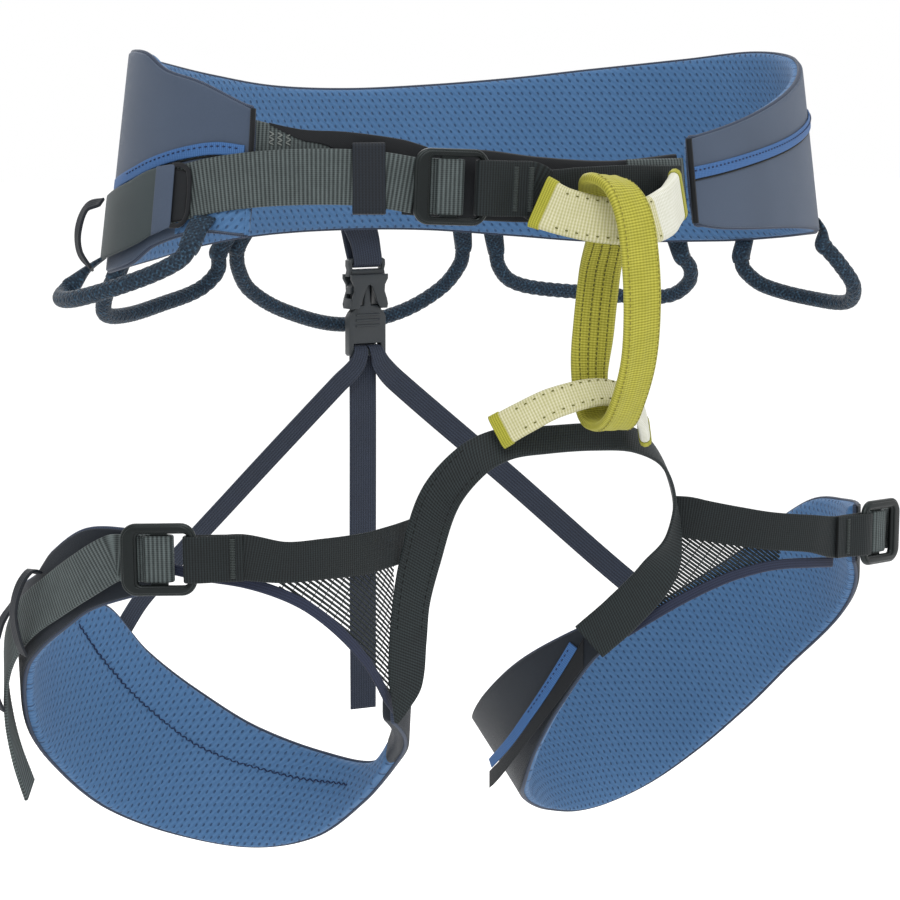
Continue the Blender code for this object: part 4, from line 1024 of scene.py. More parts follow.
def build_waist_webbing():
    """Ribbed adjusting webbing on the right hip, and the short end on the left."""
    end_gap = buckle_matrix(WAIST_BUCKLE) @ Vector((-0.0135, 0, -0.0011))
    along = [(262, -17), (270, -13.5), (277, -10), (285, -6.5), (292, -3), (300, -0.5), (308, 0.8),
             (316, 1.0), (322, 0)]
    rows = [belt_row(angle, height * MM, 0, WAIST_WEBBING_WIDTH) for angle, height in along]
    rows.append((*(end_gap / MM), *WAIST_BUCKLE[2], WAIST_WEBBING_WIDTH))
    webbing = strap("waist_webbing_ribbed", smooth_route(rows, 0.34), WEBBING_THICKNESS, WEBBING_GREY,
                    rib=0.00016, steps=10)
    dress(webbing, "harness", "webbing_grey", "waist_webbing")
    end = band("tie_in_webbing_end_ribbed", belt_point, lambda a: ((0, -0.0175), (0, 0.0065)), 2.2, 12.8,
               (-0.0040, -0.0026), WEBBING_GREY, rows=10, spacing=0.0008, round_off=0.0006)
    dress(end, "harness", "webbing_dark", "tie_in_webbing_end")


STRAP_FOLD = [(33, 1.55), (26, 2.3), (20.5, 4.1), (16.8, 5.2), (14.5, 5.5), (12.2, 5.45), (10.7, 4.8),
              (10.3, 3.0), (10.7, 1.15), (12.2, 0.55), (15, 0.5), (20, 0.3), (26, 0.1), (33, -0.1)]
SLIDER_TURN = [(-9.5, -0.25), (-7.4, -0.2), (-5.9, 0.7), (-5.0, 2.0), (-3.6, 2.55), (0, 2.6),
               (3.2, 2.5), (4.7, 1.6), (5.1, 0.2), (4.6, -1.3), (3.0, -2.2), (-1, -2.3),
               (-5, -2.3), (-9.5, -2.3)]


def strap_round_bar(placing, width, onward):
    """Rows of a strap folded round a buckle's fixed bar, and its way onward."""
    matrix = buckle_matrix(placing)
    middle = Vector((13.2, 0, 3.0))
    rows = []
    for x, z in STRAP_FOLD:
        place = matrix @ (Vector((x, 0, z)) * MM) / MM
        away = Vector((x, 0, z)) - middle
        if x > 16:
            away = Vector((0, 0, 1 if z > STRAP_FOLD[-1][1] + 0.6 else -1))
        rows.append((*place, *(matrix.to_3x3() @ away.normalized()), width))
    return rows + [(*point[:3], *(-Vector(point[3:6])), point[6]) for point in onward]


def slider_turn(placing, width):
    """Rows of the webbing's turn round a buckle's sliding bar."""
    matrix = buckle_matrix(placing)
    rows = []
    for i, (x, z) in enumerate(SLIDER_TURN):
        before, after = SLIDER_TURN[max(i - 1, 0)], SLIDER_TURN[min(i + 1, len(SLIDER_TURN) - 1)]
        outward = Vector((-(after[1] - before[1]), 0, after[0] - before[0])).normalized()
        place = matrix @ (Vector((x, 0, z)) * MM) / MM
        rows.append((*place, *(matrix.to_3x3() @ outward), width))
    return rows


def build_buckle(prefix, placing, width, height):
    """A slide-block buckle: flat ring frame with a raised rim, knurled bar and the webbing turned round it.
    """
    matrix = buckle_matrix(placing)
    half = height / 2
    window = width * MM / 2 + 0.0009
    outer = rounded_outline((-0.0150, -half), (0.0150, half), 0.0062)
    inner = rounded_outline((-0.0084, -window), (0.0115, window), 0.0016, 4)
    rim = rounded_outline((-0.0140, -half + 0.001), (0.0140, half - 0.001), 0.0056)
    rim_inner = rounded_outline((-0.0095, -window - 0.0008), (0.0124, window + 0.0008), 0.0020, 4)
    ring = slabs(prefix + "_buckle_ring", [([outer, inner[::-1]], 0.0017, 0.0043, 0.0011),
                                           ([rim, rim_inner[::-1]], 0.0036, 0.0049, 0.0005)],
                 matrix, METAL)
    dress(ring, "harness", "buckle_metal", prefix + "_buckle_frame")
    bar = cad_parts[prefix + "_buckle_slider"]
    for slot in bar.material_slots:
        slot.material = METAL
    fold = strap(prefix + "_webbing_turn", smooth_route(slider_turn(placing, width), 0.3), FOLD_THICKNESS,
                 WEBBING_GREY, rib=0.00012, steps=10)
    dress(fold, prefix + "_slider", "webbing_grey", prefix + "_webbing_fold")


def build_buckles():
    """The waist buckle and the two smaller ones on the leg loops."""
    build_buckle("waist", WAIST_BUCKLE, WAIST_WEBBING_WIDTH, 0.0300)
    build_buckle("right_leg", RIGHT_LEG_BUCKLE, LEG_WEBBING_WIDTH, 0.0287)
    build_buckle("left_leg", LEFT_LEG_BUCKLE, LEG_WEBBING_WIDTH, 0.0287)


def build_front_straps():
    """The sewn straps: waist buckle to tie-in, and each leg buckle to the leg bridge."""
    front = (-0.05, -0.99, 0.0)
    waist = [(-36, -108.4, -7.5, -0.14, -0.99, 0, 22), (-20, -110.6, -7.0, -0.08, -1, 0, 22),
             (0, -111.4, -6.0, 0, -1, 0, 21), (18, -110.9, -6.0, 0.08, -1, 0, 20),
             (30, -109.6, -6.2, 0.16, -0.99, 0, 20)]
    right = [(-137, -75.2, -149.6, -0.15, -0.98, 0, 16.5), (-119, -75.4, -149.8, *front, 16.5),
             (-98, -71.4, -150, 0.25, -0.97, 0, 17), (-83, -65.0, -149.5, 0.35, -0.93, 0, 17),
             (-73, -60.2, -149, 0.45, -0.9, 0, 17), (-61, -53.9, -148.2, 0.5, -0.87, 0, 17)]
    left = [(124, -82.6, -158.5, *front, 16.5), (101, -81.5, -155.5, -0.2, -0.98, 0, 16.5),
            (85, -77.0, -152.5, -0.35, -0.94, 0, 17), (74, -71.8, -150.2, -0.45, -0.9, 0, 17.5),
            (67.4, -67.5, -148.7, -0.5, -0.86, 0, 18), (62, -63.8, -148.3, -0.5, -0.86, 0, 18)]
    paths = {}
    for node, placing, width, onward in (("tie_in_webbing", WAIST_BUCKLE, 22, waist),
                                         ("right_leg_strap", RIGHT_LEG_BUCKLE, 18.5, right),
                                         ("left_leg_strap", LEFT_LEG_BUCKLE, 18.5, left)):
        paths[node] = smooth_route(strap_round_bar(placing, width, onward), 0.36)
        piece = strap(node + "_woven", paths[node], FOLD_THICKNESS, WEBBING_DARK, rib=0.00007,
                      pitch=FINE_RIB_PITCH, steps=10)
        dress(piece, "harness", "webbing_dark", node)
    tacks = []
    for placing, width, offsets in ((WAIST_BUCKLE, 17, (0.0262, 0.0325)),
                                    (RIGHT_LEG_BUCKLE, 15, (0.0290,)), (LEFT_LEG_BUCKLE, 15, (0.0262,))):
        matrix = buckle_matrix(placing)
        turn = matrix.to_3x3()
        for x in offsets:
            lift = 0.0032 - 0.07 * (x - 0.026)
            line = [(matrix @ Vector((x, y * MM, lift)), turn @ Vector((1, 0, 0)), turn @ Vector((0, 0, 1)))
                    for y in (-width / 2, width / 2)]
            tacks += satin_stitch(line, 0.0022, 0.00065)
    threads("strap_bar_tacks", tacks, 0.00055, THREAD_DARK_GREY, "harness", "webbing_dark")
    seams = []
    for node in ("right_leg_strap", "left_leg_strap"):
        for across in (5.6, -6.4):
            seams += zigzag_stitch(strap_line(paths[node], across, 0.0007, 0.50, 0.86), 0.0016, 0.0018)
    seams += zigzag_stitch(strap_line(paths["tie_in_webbing"], 8.0, 0.0007, 0.34, 0.50), 0.0016, 0.0014)
    threads("strap_seams", seams, 0.0005, THREAD_DARK_GREY, "harness", "webbing_dark")


# ---------------------------------------------------------------- tie-in and belay loops
UPPER_SLEEVE = [(-42, -112.8, -9, -0.35, -0.93, 0.05, 21), (-35.5, -121, -12.8, -0.7, -0.7, 0.1, 19),
                (-24, -130.5, -16, -0.45, -0.88, 0.15, 18.5), (-7, -134.5, -17, 0, -0.98, 0.2, 18.5),
                (9, -128, -14, 0.55, -0.82, 0.15, 20), (19, -120, -10.5, 0.7, -0.7, 0.1, 21),
                (26, -113.8, -7.5, 0.5, -0.85, 0.05, 21)]
LOWER_SLEEVE = [(-48, -92.4, -102.3, -0.1, -0.9, 0.42, 14), (-40, -100.5, -95.8, -0.15, -0.88, 0.45, 13.5),
                (-30, -107.5, -89.8, -0.1, -0.85, 0.5, 13), (-12, -112, -86.2, 0, -0.8, 0.6, 12.5),
                (4, -109, -90, 0.12, -0.82, 0.55, 12.5), (16, -102, -97.5, 0.2, -0.85, 0.5, 12.5),
                (27, -90.6, -107, 0.3, -0.85, 0.42, 13)]
BELAY_LOOP = [(-24, -132, -0.3, 0.15, 0, 1, 17), (-24.5, -144, -3.6, 0.1, -0.7, 0.7, 17),
              (-22.8, -150, -13.5, -0.02, -0.98, 0.15, 17), (-20.8, -151.5, -29, -0.1, -0.99, 0, 16.5),
              (-18.8, -150.5, -49, -0.1, -0.99, 0, 16.5), (-15.2, -143.5, -71, -0.05, -0.96, -0.2, 16.5),
              (-12.2, -131.5, -90, 0, -0.75, -0.65, 16.5), (-9, -119, -99, 0, 0, -1, 16.5),
              (-8, -105.5, -97.2, 0.1, 0.7, -0.65, 16.5), (-7.6, -99.8, -82, 0.1, 0.99, 0, 16.5),
              (-7, -101.6, -61, 0.54, 0.84, 0, 17), (-6.8, -105, -40, 0.54, 0.84, 0.05, 17),
              (-11, -115.4, -20, 0.25, 0.95, 0.15, 16.5), (-18.5, -120.5, -3.6, 0.2, 0.75, 0.65, 16.5)]


def build_sleeve(name, node, rows, white_from):
    """A woven sleeve over a tie-in loop, with bound ends and edge stitching."""
    path = smooth_route(rows, 0.5)
    body = strap(name, path, SLEEVE_THICKNESS, CREAM, rib=0.00010, pitch=0.0012, steps=12)
    body.data.materials.append(WHITE_SLEEVE)
    per_row = len(body.data.polygons) / len(path)
    for index, polygon in enumerate(body.data.polygons):
        if index / per_row > white_from * len(path) and index < len(body.data.polygons) - 2:
            polygon.material_index = 1
    dress(body, "harness", "sleeve_cream", node)
    for side, part in (("start", path[:10]), ("end", path[-8:])):
        cuff = strap(f"{name}_{side}_binding", part, SLEEVE_THICKNESS + 0.0008, LIME_EDGE, steps=10,
                     wider=0.0008)
        dress(cuff, "harness", "belay_lime")
    half = rows[2][6] / 2
    lift = SLEEVE_THICKNESS / 2 + 0.0001
    stitches = []
    for across in (half - 2.2, 2.2 - half):
        stitches += running_stitch(strap_line(path, across, lift, 0.12, 0.62), 0.0040, 0.3)
    threads(name + "_stitches", stitches, 0.0006, THREAD_OLIVE, "harness", "sleeve_cream")


def build_tie_in():
    """Sleeved upper and lower tie-in loops, and the belay loop that joins them."""
    build_sleeve("upper_sleeve", "upper_tie_in_sleeve", UPPER_SLEEVE, 0.60)
    build_sleeve("lower_sleeve", "lower_tie_in_sleeve", LOWER_SLEEVE, 0.66)
    path = smooth_route(BELAY_LOOP, 0.7, True)
    loop = strap("belay_loop_webbing", path, BELAY_THICKNESS - 0.0003, LIME, closed=True, steps=32,
                 rib=0.00006, pitch=0.0011, groove=lambda y: 0.00012 * math.cos(2 * math.pi * y / 0.0056))
    dress(loop, "belay_loop", "belay_lime", "belay_loop")
    lift = BELAY_THICKNESS / 2
    stitches = []
    for across in (-5.4, -1.8, 1.8, 5.4):
        for face in (lift, -lift):
            stitches += running_stitch(strap_line(path, across, face, 0.60, 0.93), 0.0020, 0.62)
    threads("belay_loop_stitches", stitches, 0.0007, THREAD_OLIVE, "belay_loop", "belay_lime")
    edges = []
    for across in (-6.6, 6.6):
        edges += running_stitch(strap_line(path, across, lift - 0.0001, 0.02, 0.50), 0.0024, 0.65)
    threads("belay_loop_edge_stitches", edges, 0.0005, THREAD_LIME, "belay_loop", "belay_lime")


def build_leg_bridge():
    """One webbing from the right leg's inner side, over the middle, to the left leg's."""
    bridge = [(-79.5, -66.5, -222, -0.1, -0.99, 0, 2), (-77, -66.3, -214.5, -0.1, -0.99, 0, 9),
              (-74.8, -66, -206, -0.1, -0.99, 0, 15.5), (-73.6, -66, -189, -0.1, -0.99, 0, 17),
              (-72, -66.2, -172.5, -0.1, -1, 0.1, 17), (-69, -68, -156, -0.3, -0.93, 0.2, 17),
              (-65.5, -77, -130, -0.5, -0.8, 0.35, 17), (-55.5, -85.5, -114, -0.55, -0.75, 0.4, 16),
              (-43, -90.5, -107.5, -0.3, -0.85, 0.45, 14), (-25, -92, -106.8, 0, -0.9, 0.4, 12),
              (0, -91, -107.2, 0.1, -0.9, 0.4, 12), (23, -86.5, -110, 0.35, -0.8, 0.5, 13),
              (42.5, -79, -119, 0.75, -0.5, 0.45, 14), (55.5, -72.5, -136, 0.85, -0.5, 0.1, 15),
              (57.8, -70.2, -154.4, 0.5, -0.86, -0.1, 15.5), (54.2, -63.3, -173, -0.4, -0.9, 0, 17),
              (44, -52, -190.5, -0.5, -0.86, 0.05, 18), (34, -42, -203.5, -0.6, -0.8, 0.1, 18)]
    path = smooth_route(bridge, 0.6)
    piece = strap("leg_bridge_woven", path, WEBBING_THICKNESS - 0.0001, WEBBING_TWILL, rib=0.00005,
                  pitch=0.0018, steps=10)
    dress(piece, "harness", "webbing_dark", "leg_bridge_webbing")
    stitches = []
    for across in (5.6, -5.6):
        stitches += running_stitch(strap_line(path, across, WEBBING_THICKNESS / 2, 0.12, 0.36), 0.003, 0.55)
    threads("leg_bridge_stitches", stitches, 0.00045, THREAD_BLACK_AND_PAINTED_SHADOW, "harness", "webbing_dark")


# ---------------------------------------------------------------- leg loops
def build_leg_pads():
    """Padded liner, shell and piping of each leg loop."""
    seam = [(159, -197.1), (168, -212.9), (179, -229.5), (190, -243.4), (200, -254.3),
            (210, -261.4), (220, -265.9), (238, -270.3), (259, -269.7)]
    for side in ("right", "left"):
        place, edges = leg_surface(side), leg_edges(side)
        start, end = LEG_TABLES[side][1][0][0], LEG_TABLES[side][1][-1][0]
        uneven = soft_pad(8.0, 4.1 if side == "left" else 7.7)

        def dent(angle, t, side=side, edges=edges, uneven=uneven):
            """The pad is pulled in along the right liner's sewn seam."""
            full = uneven(angle, t)
            if side == "right" and seam[0][0] < angle < seam[-1][0]:
                (_, low), (_, high) = edges(angle)
                from_seam = low + (high - low) * t - blend(seam, angle)[0] * MM
                full *= 1 - 0.32 * math.exp(-(from_seam / 0.0028) ** 2)
            return full

        liner_end, liner_rows = (286.5, 30) if side == "right" else (end, 22)
        build_pad(side + "_leg", place, edges, start, end, liner_end, (liner_rows, 16), SHELL_DARK, dent)
    line = surface_line(leg_surface("right"), seam, -0.0200, 120)
    inward = lay_on(bpy.data.objects["right_leg_liner_pad"], line)
    stitches = zigzag_stitch(inward, 0.0012, 0.0016)
    threads("right_liner_seam", stitches, 0.0007, THREAD_NAVY, "harness", "liner")


def build_leg_front_ends():
    """Dark fabric over the front end of the right leg loop, and beside the left accent tape."""
    place, edges = leg_surface("right"), leg_edges("right")
    cap = band("right_leg_front_cap", place, edges, 285, 325.2, (-0.0083, -0.0026), SHELL_DARK,
               fullness=4.5, middle=0.96, rows=18, spacing=0.002, round_off=0.003)
    dress(cap, "harness", "shell")
    place, edges = leg_surface("left"), leg_edges("left")
    top = [(262, -272), (273, -259.6), (281.6, -244.8), (287.2, -233.7), (292.4, -222.1), (296.9, -211.2),
           (300, -203.5)]

    def below_tape(angle):
        """Edges of the panel between the pad's lower edge and the accent tape."""
        low = edges(angle)[0][1] + 0.0010
        return (0, low), (0, max(blend(top, angle)[0] * MM, low + 0.001))

    dark = band("left_leg_front_panel", place, below_tape, 262, 300, (-0.0011, -0.0006), FLAP_AND_PAINTED_SHADOW,
                fullness=10, rows=10, spacing=0.002, round_off=0.0005)
    dress(dark, "harness", "shell")


def build_leg_accent():
    """Accent tape and seam down the left leg loop's inner side."""
    rows = [(263, -268), (273, -255.6), (281.6, -240.8), (287.2, -229.7), (292.4, -218.1), (296.9, -207.2)]
    path = smooth_route([leg_row("left", angle, height * MM, -0.0007, 4.6) for angle, height in rows], 0.9)
    dress(strap("left_leg_accent_tape", path, 0.0008, ACCENT), "harness", "accent")
    stitches = running_stitch(strap_line(path, -0.8, 0.0004, 0.5, 0.98), 0.0026, 0.5)
    threads("left_leg_accent_stitches", stitches, 0.0006, THREAD_NAVY, "harness", "accent")
    edge = [[x / MM for x in p] for p, _, _ in strap_line(path, 2.9, -0.0003)]
    seam = tube("left_leg_accent_seam", smooth_route(edge, 1.5), SEAM_LINE_RADIUS, THREAD_BLACK_AND_PAINTED_SHADOW, 6)
    dress(seam, "harness", "accent")


def mesh_threads(side, low, high, pitch, slope=-0.72):
    """Diagonal yarns and thin cross yarns of a see-through mesh panel, as one piece."""
    place = leg_surface(side)
    radius = LEG_RADIUS[side] + MESH_OFFSET
    start, end = low[0][0], low[-1][0]
    sign = 1 if side == "left" else -1
    per_degree = math.radians(1) * radius / MM
    points, faces, corner_uvs = [], [], []

    def inside(x, height):
        """Whether a point of the unrolled panel lies within its outline."""
        angle = x / per_degree
        if not start < angle < end:
            return False
        return blend(low, angle)[0] < height < blend(high, angle)[0]

    def yarn(route, width, thickness):
        """Add one yarn of diamond section along a route on the unrolled panel."""
        base = len(points)
        section = [(width / 2, 0), (0, thickness / 2), (-width / 2, 0), (0, -thickness / 2)]
        for i, (x, height) in enumerate(route):
            ahead, behind = route[min(i + 1, len(route) - 1)], route[max(i - 1, 0)]
            dx, dh = ahead[0] - behind[0], ahead[1] - behind[1]
            size = math.hypot(dx, dh)
            for across, lift in section:
                px, ph = x - dh / size * across, height + dx / size * across
                points.append(place(px / per_degree, ph * MM, MESH_OFFSET + lift * MM))
        for i in range(len(route) - 1):
            for j in range(4):
                k = (j + 1) % 4
                row, following = base + 4 * i, base + 4 * (i + 1)
                faces.append((row + j, row + k, following + k, following + j))
                corner_uvs.extend([(i * MM, j * MM / 4), (i * MM, j * MM / 4 + MM / 4),
                                   (i * MM + MM, j * MM / 4 + MM / 4), (i * MM + MM, j * MM / 4)])
        last = base + 4 * (len(route) - 1)
        faces.append((base + 3, base + 2, base + 1, base))
        faces.append((last, last + 1, last + 2, last + 3))
        corner_uvs.extend([(0, 0)] * 8)

    def lay(slope_now, pitch_now, width, thickness):
        """Lay one set of parallel yarns across the panel, cut at its outline."""
        x_low, x_high = start * per_degree, end * per_degree
        span = (x_high - x_low) * abs(slope_now) + 110
        count = int(span / (pitch_now * math.hypot(1, slope_now)))
        for n in range(-count, count):
            route = []
            offset = -190 + n * pitch_now * math.hypot(1, slope_now)
            steps = int((x_high - x_low) / 1.2)
            for i in range(steps + 1):
                x = x_low + (x_high - x_low) * i / steps
                height = offset + slope_now * (x - x_low) * sign
                if inside(x, height):
                    route.append((x, height))
                    continue
                if len(route) > 1:
                    yarn(route, width, thickness)
                route = []
            if len(route) > 1:
                yarn(route, width, thickness)

    lay(slope, pitch, 1.12, 0.45)
    lay(1 / -slope, 4.6, 0.42, 0.35)
    return make_object(side + "_leg_mesh_yarns", points, faces, corner_uvs, MESH_YARN)


def build_leg_mesh():
    """See-through mesh between each front strap and the leg loop's lower rim."""
    right_low = [(-34.6, -217.5), (-28, -209.6), (-23, -200.5), (-17.4, -191), (-8, -178), (2, -166.7),
                 (10.7, -159.9)]
    left_low = [(-47.6, -197), (-43, -192.2), (-32, -181.8), (-20, -173.3), (-10, -169.5), (-2, -168.6)]
    right_high = [(-34.6, -155.5), (10.7, -155.5)]
    left_high = [(-47.6, -196), (-44, -184), (-41, -172), (-38, -162), (-35, -157), (-30, -156), (-20, -159),
                 (-10, -161), (-2, -163.5)]
    for side, low, high in (("right", right_low, right_high), ("left", left_low, left_high)):
        hemmed = [(angle, height - MESH_HEM[side]) for angle, height in low]
        panel = mesh_threads(side, hemmed, high, MESH_PITCH[side])
        dress(panel, "harness", "mesh", side + "_leg_mesh")
        per_degree = math.radians(1) * (LEG_RADIUS[side] + MESH_OFFSET)
        width = (low[-1][0] - low[0][0]) * per_degree
        steps = 60
        area = 0.0
        for i in range(steps):
            angle = low[0][0] + (low[-1][0] - low[0][0]) * (i + 0.5) / steps
            area += max(blend(high, angle)[0] - blend(low, angle)[0], 0) * MM * width / steps
        height = (max(h for _, h in high) - min(h for _, h in low)) * MM
        build_leg_binding(side, low)


def build_leg_binding(side, low):
    """The bound rim under a mesh panel, and on beyond it."""
    beyond = {"right": [(20.6, -154.8), (32.4, -151.6), (44.4, -147.8)], "left": [(8, -169.5), (18, -171)]}
    rows = [leg_row(side, angle, (height - 2.8) * MM, -0.0001, BINDING_WIDTH)
            for angle, height in low + beyond[side]]
    path = smooth_route(rows, 0.9)
    binding = strap(side + "_leg_binding_tape", path, BINDING_THICKNESS, BINDING, steps=8)
    dress(binding, "harness", "binding", side + "_leg_binding")


def build_leg_webbing():
    """Ribbed adjusting webbing from each leg buckle round the outside of the thigh."""
    right_start = buckle_matrix(RIGHT_LEG_BUCKLE) @ Vector((-0.0136, 0, -0.0011)) / MM
    right_next = buckle_matrix(RIGHT_LEG_BUCKLE) @ Vector((-0.0185, 0.0002, -0.0013)) / MM
    right = [(*right_start, -0.60, -0.80, 0, 18.5), (*right_next, -0.64, -0.77, 0, 18.5),
             (-200.5, -25, -156.6, -0.85, -0.5, 0, 18.5),
             (-203.0, -7, -166, -0.98, -0.2, 0, 18.5), (-205.6, 14, -178, -1, 0.0, 0, 18),
             (-204.6, 32, -192, -0.97, 0.25, 0, 18), (-200.5, 46, -208, -0.9, 0.42, 0, 18),
             (-195.5, 55, -226, -0.85, 0.5, 0, 17.5), (-189.2, 60.5, -245, -0.82, 0.55, 0, 17),
             (-182, 64, -262, -0.8, 0.58, 0.1, 16)]
    left_start = buckle_matrix(LEFT_LEG_BUCKLE) @ Vector((-0.0136, 0, -0.0011)) / MM
    left = [(*left_start, 0.31, -0.95, 0, 18.5), (195.5, -50, -165.5, 0.75, -0.66, 0, 18.5),
            (204, -28, -170, 0.93, -0.36, 0, 18.5), (207.2, -8, -176, 0.99, -0.1, 0, 18.5),
            (206.8, 12, -184, 1, 0.0, 0, 18), (204.2, 30, -194, 0.97, 0.2, 0, 18),
            (199, 46, -208, 0.9, 0.4, 0, 17.5)]
    for side, rows in (("right", right), ("left", left)):
        piece = strap(side + "_leg_webbing_ribbed", smooth_route(rows, 0.36), WEBBING_THICKNESS,
                      WEBBING_GREY, rib=0.00016, steps=10)
        dress(piece, "harness", "webbing_grey", side + "_leg_webbing")


def build_keepers():
    """Elastic keeper loops on the hip and legs."""
    loops = {
        "right_leg_keeper_upper": [(-204.6, 5, -158.6, -0.5, 0, 0.85),
                                   (-208.5, 4.5, -157.4, -0.5, 0, 0.85),
                                   (-213, 5, -163, -0.95, 0, 0.3), (-214, 9, -174, -1, 0, 0),
                                   (-211.2, 12, -185.5, -0.8, 0, -0.6),
                                   (-207.4, 14, -193.2, -0.8, 0, -0.6)],
        "right_leg_keeper_lower": [(-206.5, 26, -174.5, -0.6, 0, 0.8), (-210, 30, -183, -0.9, 0, 0.4),
                                   (-211.8, 36, -202, -1, 0, 0), (-207.5, 42, -214, -0.85, 0, -0.5),
                                   (-203.6, 45, -221.5, -0.7, 0, -0.7)],
        "left_leg_keeper": [(209.8, 13, -173, 0.7, 0, 0.7), (213.2, 16, -181, 0.95, 0, 0.2),
                            (213.2, 19, -191, 0.95, 0, -0.2), (209.6, 22, -201.5, 0.8, 0, -0.6)],
        "hip_keeper_loop": [(-173.5, 6, -10.5, -0.6, 0.1, 0.75), (-177.2, 12, -12.8, -0.85, 0.1, 0.5),
                            (-179.2, 16, -22, -1, 0.1, 0), (-179.6, 14, -31, -0.95, 0.1, -0.3),
                            (-176.8, 9, -37.6, -0.5, 0, -0.85)],
    }
    for node, rows in loops.items():
        rows = [(*row, KEEPER_WIDTH) for row in rows]
        piece = strap(node + "_elastic", smooth_route(rows, 0.8), ELASTIC_THICKNESS, ELASTIC_DARK, steps=8)
        dress(piece, "harness", "elastic", node)


def build_waist_keeper():
    """The elastic sleeve that slides along the waist webbing."""
    angle, height = 320.6, 0.0003
    place = belt_point(angle, height, 0)
    outward = belt_outward(angle, height)
    along = Vector((0, 0, 1)).cross(outward).normalized()
    across = outward.cross(along)
    half = WAIST_WEBBING_WIDTH * MM / 2
    ring = []
    for y, z, turn in ((half + 0.0016, 0.0011, 0), (-half - 0.0016, 0.0011, 90),
                       (-half - 0.0016, -0.0011, 180), (half + 0.0016, -0.0011, 270)):
        for k in range(5):
            a = math.radians(turn + 22.5 * k)
            ring.append((y + 0.0010 * math.cos(a), z + 0.0010 * math.sin(a), math.cos(a), math.sin(a)))
    rows = []
    for y, z, ny, nz in ring:
        point = place + across * y + outward * z
        normal = across * ny + outward * nz
        rows.append((*(point / MM), *normal, 13.0))
    path = smooth_route(rows, 0.7, True)
    piece = strap("waist_keeper_elastic", path, 0.0009, ELASTIC_DARK, closed=True, steps=12)
    dress(piece, "waist_keeper", "elastic", "waist_keeper_sleeve")


# ---------------------------------------------------------------- rear risers
def in_metres(points):
    """Outline points given in millimetres, as metres."""
    return [(x * MM, z * MM) for x, z in points]


def build_rear_buckle():
    """Side-release buckle: socket with windows, plug, and its two springy prongs."""
    centre = Vector((0.0205, 0.1200, 0))
    upright = Matrix.Translation(centre) @ Matrix.Rotation(math.radians(90), 4, "X")
    crown = in_metres([(-9.9, -46.4), (-8.6, -45.6), (8.6, -45.6), (9.9, -46.4), (10, -49), (9.4, -51),
                       (10, -54), (-10, -54), (-9.4, -51), (-10, -49)][::-1])
    slot = in_metres([(-7.9, -50.6), (-7.9, -47.9), (7.9, -47.9), (7.9, -50.6)])
    half_wall = [(10, -53), (10, -55.2), (8.4, -58), (8.2, -61), (9.4, -64.5), (10, -67), (9.6, -69),
                 (6.0, -69), (4.4, -66.5), (2.6, -61.5), (1.2, -58.6), (0, -57.8)]
    wall = in_metres(half_wall + [(-x, z) for x, z in half_wall[:-1][::-1]])
    post = [in_metres([(s * 8.1, -69), (s * 9.9, -69), (s * 9.9, -64.2), (s * 8.1, -64.2)]) for s in (1, -1)]
    socket = slabs("rear_buckle_socket_body", [
        ([crown, slot[::-1]], -0.0022, 0.0022, 0.0009),
        ([wall[::-1]], 0.0027, 0.0045, 0.0006), ([wall[::-1]], -0.0045, -0.0027, 0.0006),
        ([post[0]], -0.0036, 0.0036, 0.0004), ([post[1][::-1]], -0.0036, 0.0036, 0.0004)],
        upright, PLASTIC)
    dress(socket, "harness", "buckle_plastic", "rear_buckle_socket")
    half_base = [(9.2, -91), (10, -90), (10, -73), (8.6, -70.6), (7.5, -69.6), (7.5, -67.6), (1.9, -67.6),
                 (1.3, -55)]
    base = in_metres(half_base + [(-x, z) for x, z in half_base[::-1]])
    bars = in_metres([(-7.4, -88.2), (-7.4, -85.4), (7.4, -85.4), (7.4, -88.2)])
    ridges = []
    for z in (-72.5, -75.0, -77.5):
        rib = in_metres([(-6.5, z), (6.5, z), (6.5, z + 1.1), (-6.5, z + 1.1)])
        ridges.append(([rib], 0.0018, 0.0028, 0.0004))
    body = [([base, bars], -0.0022, 0.0022, 0.0006)]
    plug = slabs("rear_buckle_plug_body", body + ridges, upright, PLASTIC)
    dress(plug, "harness", "buckle_plastic", "rear_buckle_plug")
    prong = [(7.3, -67.2), (4.5, -67.2), (4.1, -60), (3.8, -55.4), (5.8, -55.0), (9.3, -59.2),
             (9.3, -62.0), (7.0, -62.4)]
    for side, sign in (("left", 1), ("right", -1)):
        outline = in_metres([(sign * x, z) for x, z in prong][::sign])
        arm = [([outline], -0.0020, 0.0020, 0.0004)]
        piece = slabs(f"rear_buckle_prong_{side}_arm", arm, upright, PLASTIC)
        dress(piece, "prong_" + side, "buckle_plastic", "rear_buckle_prong_" + side)


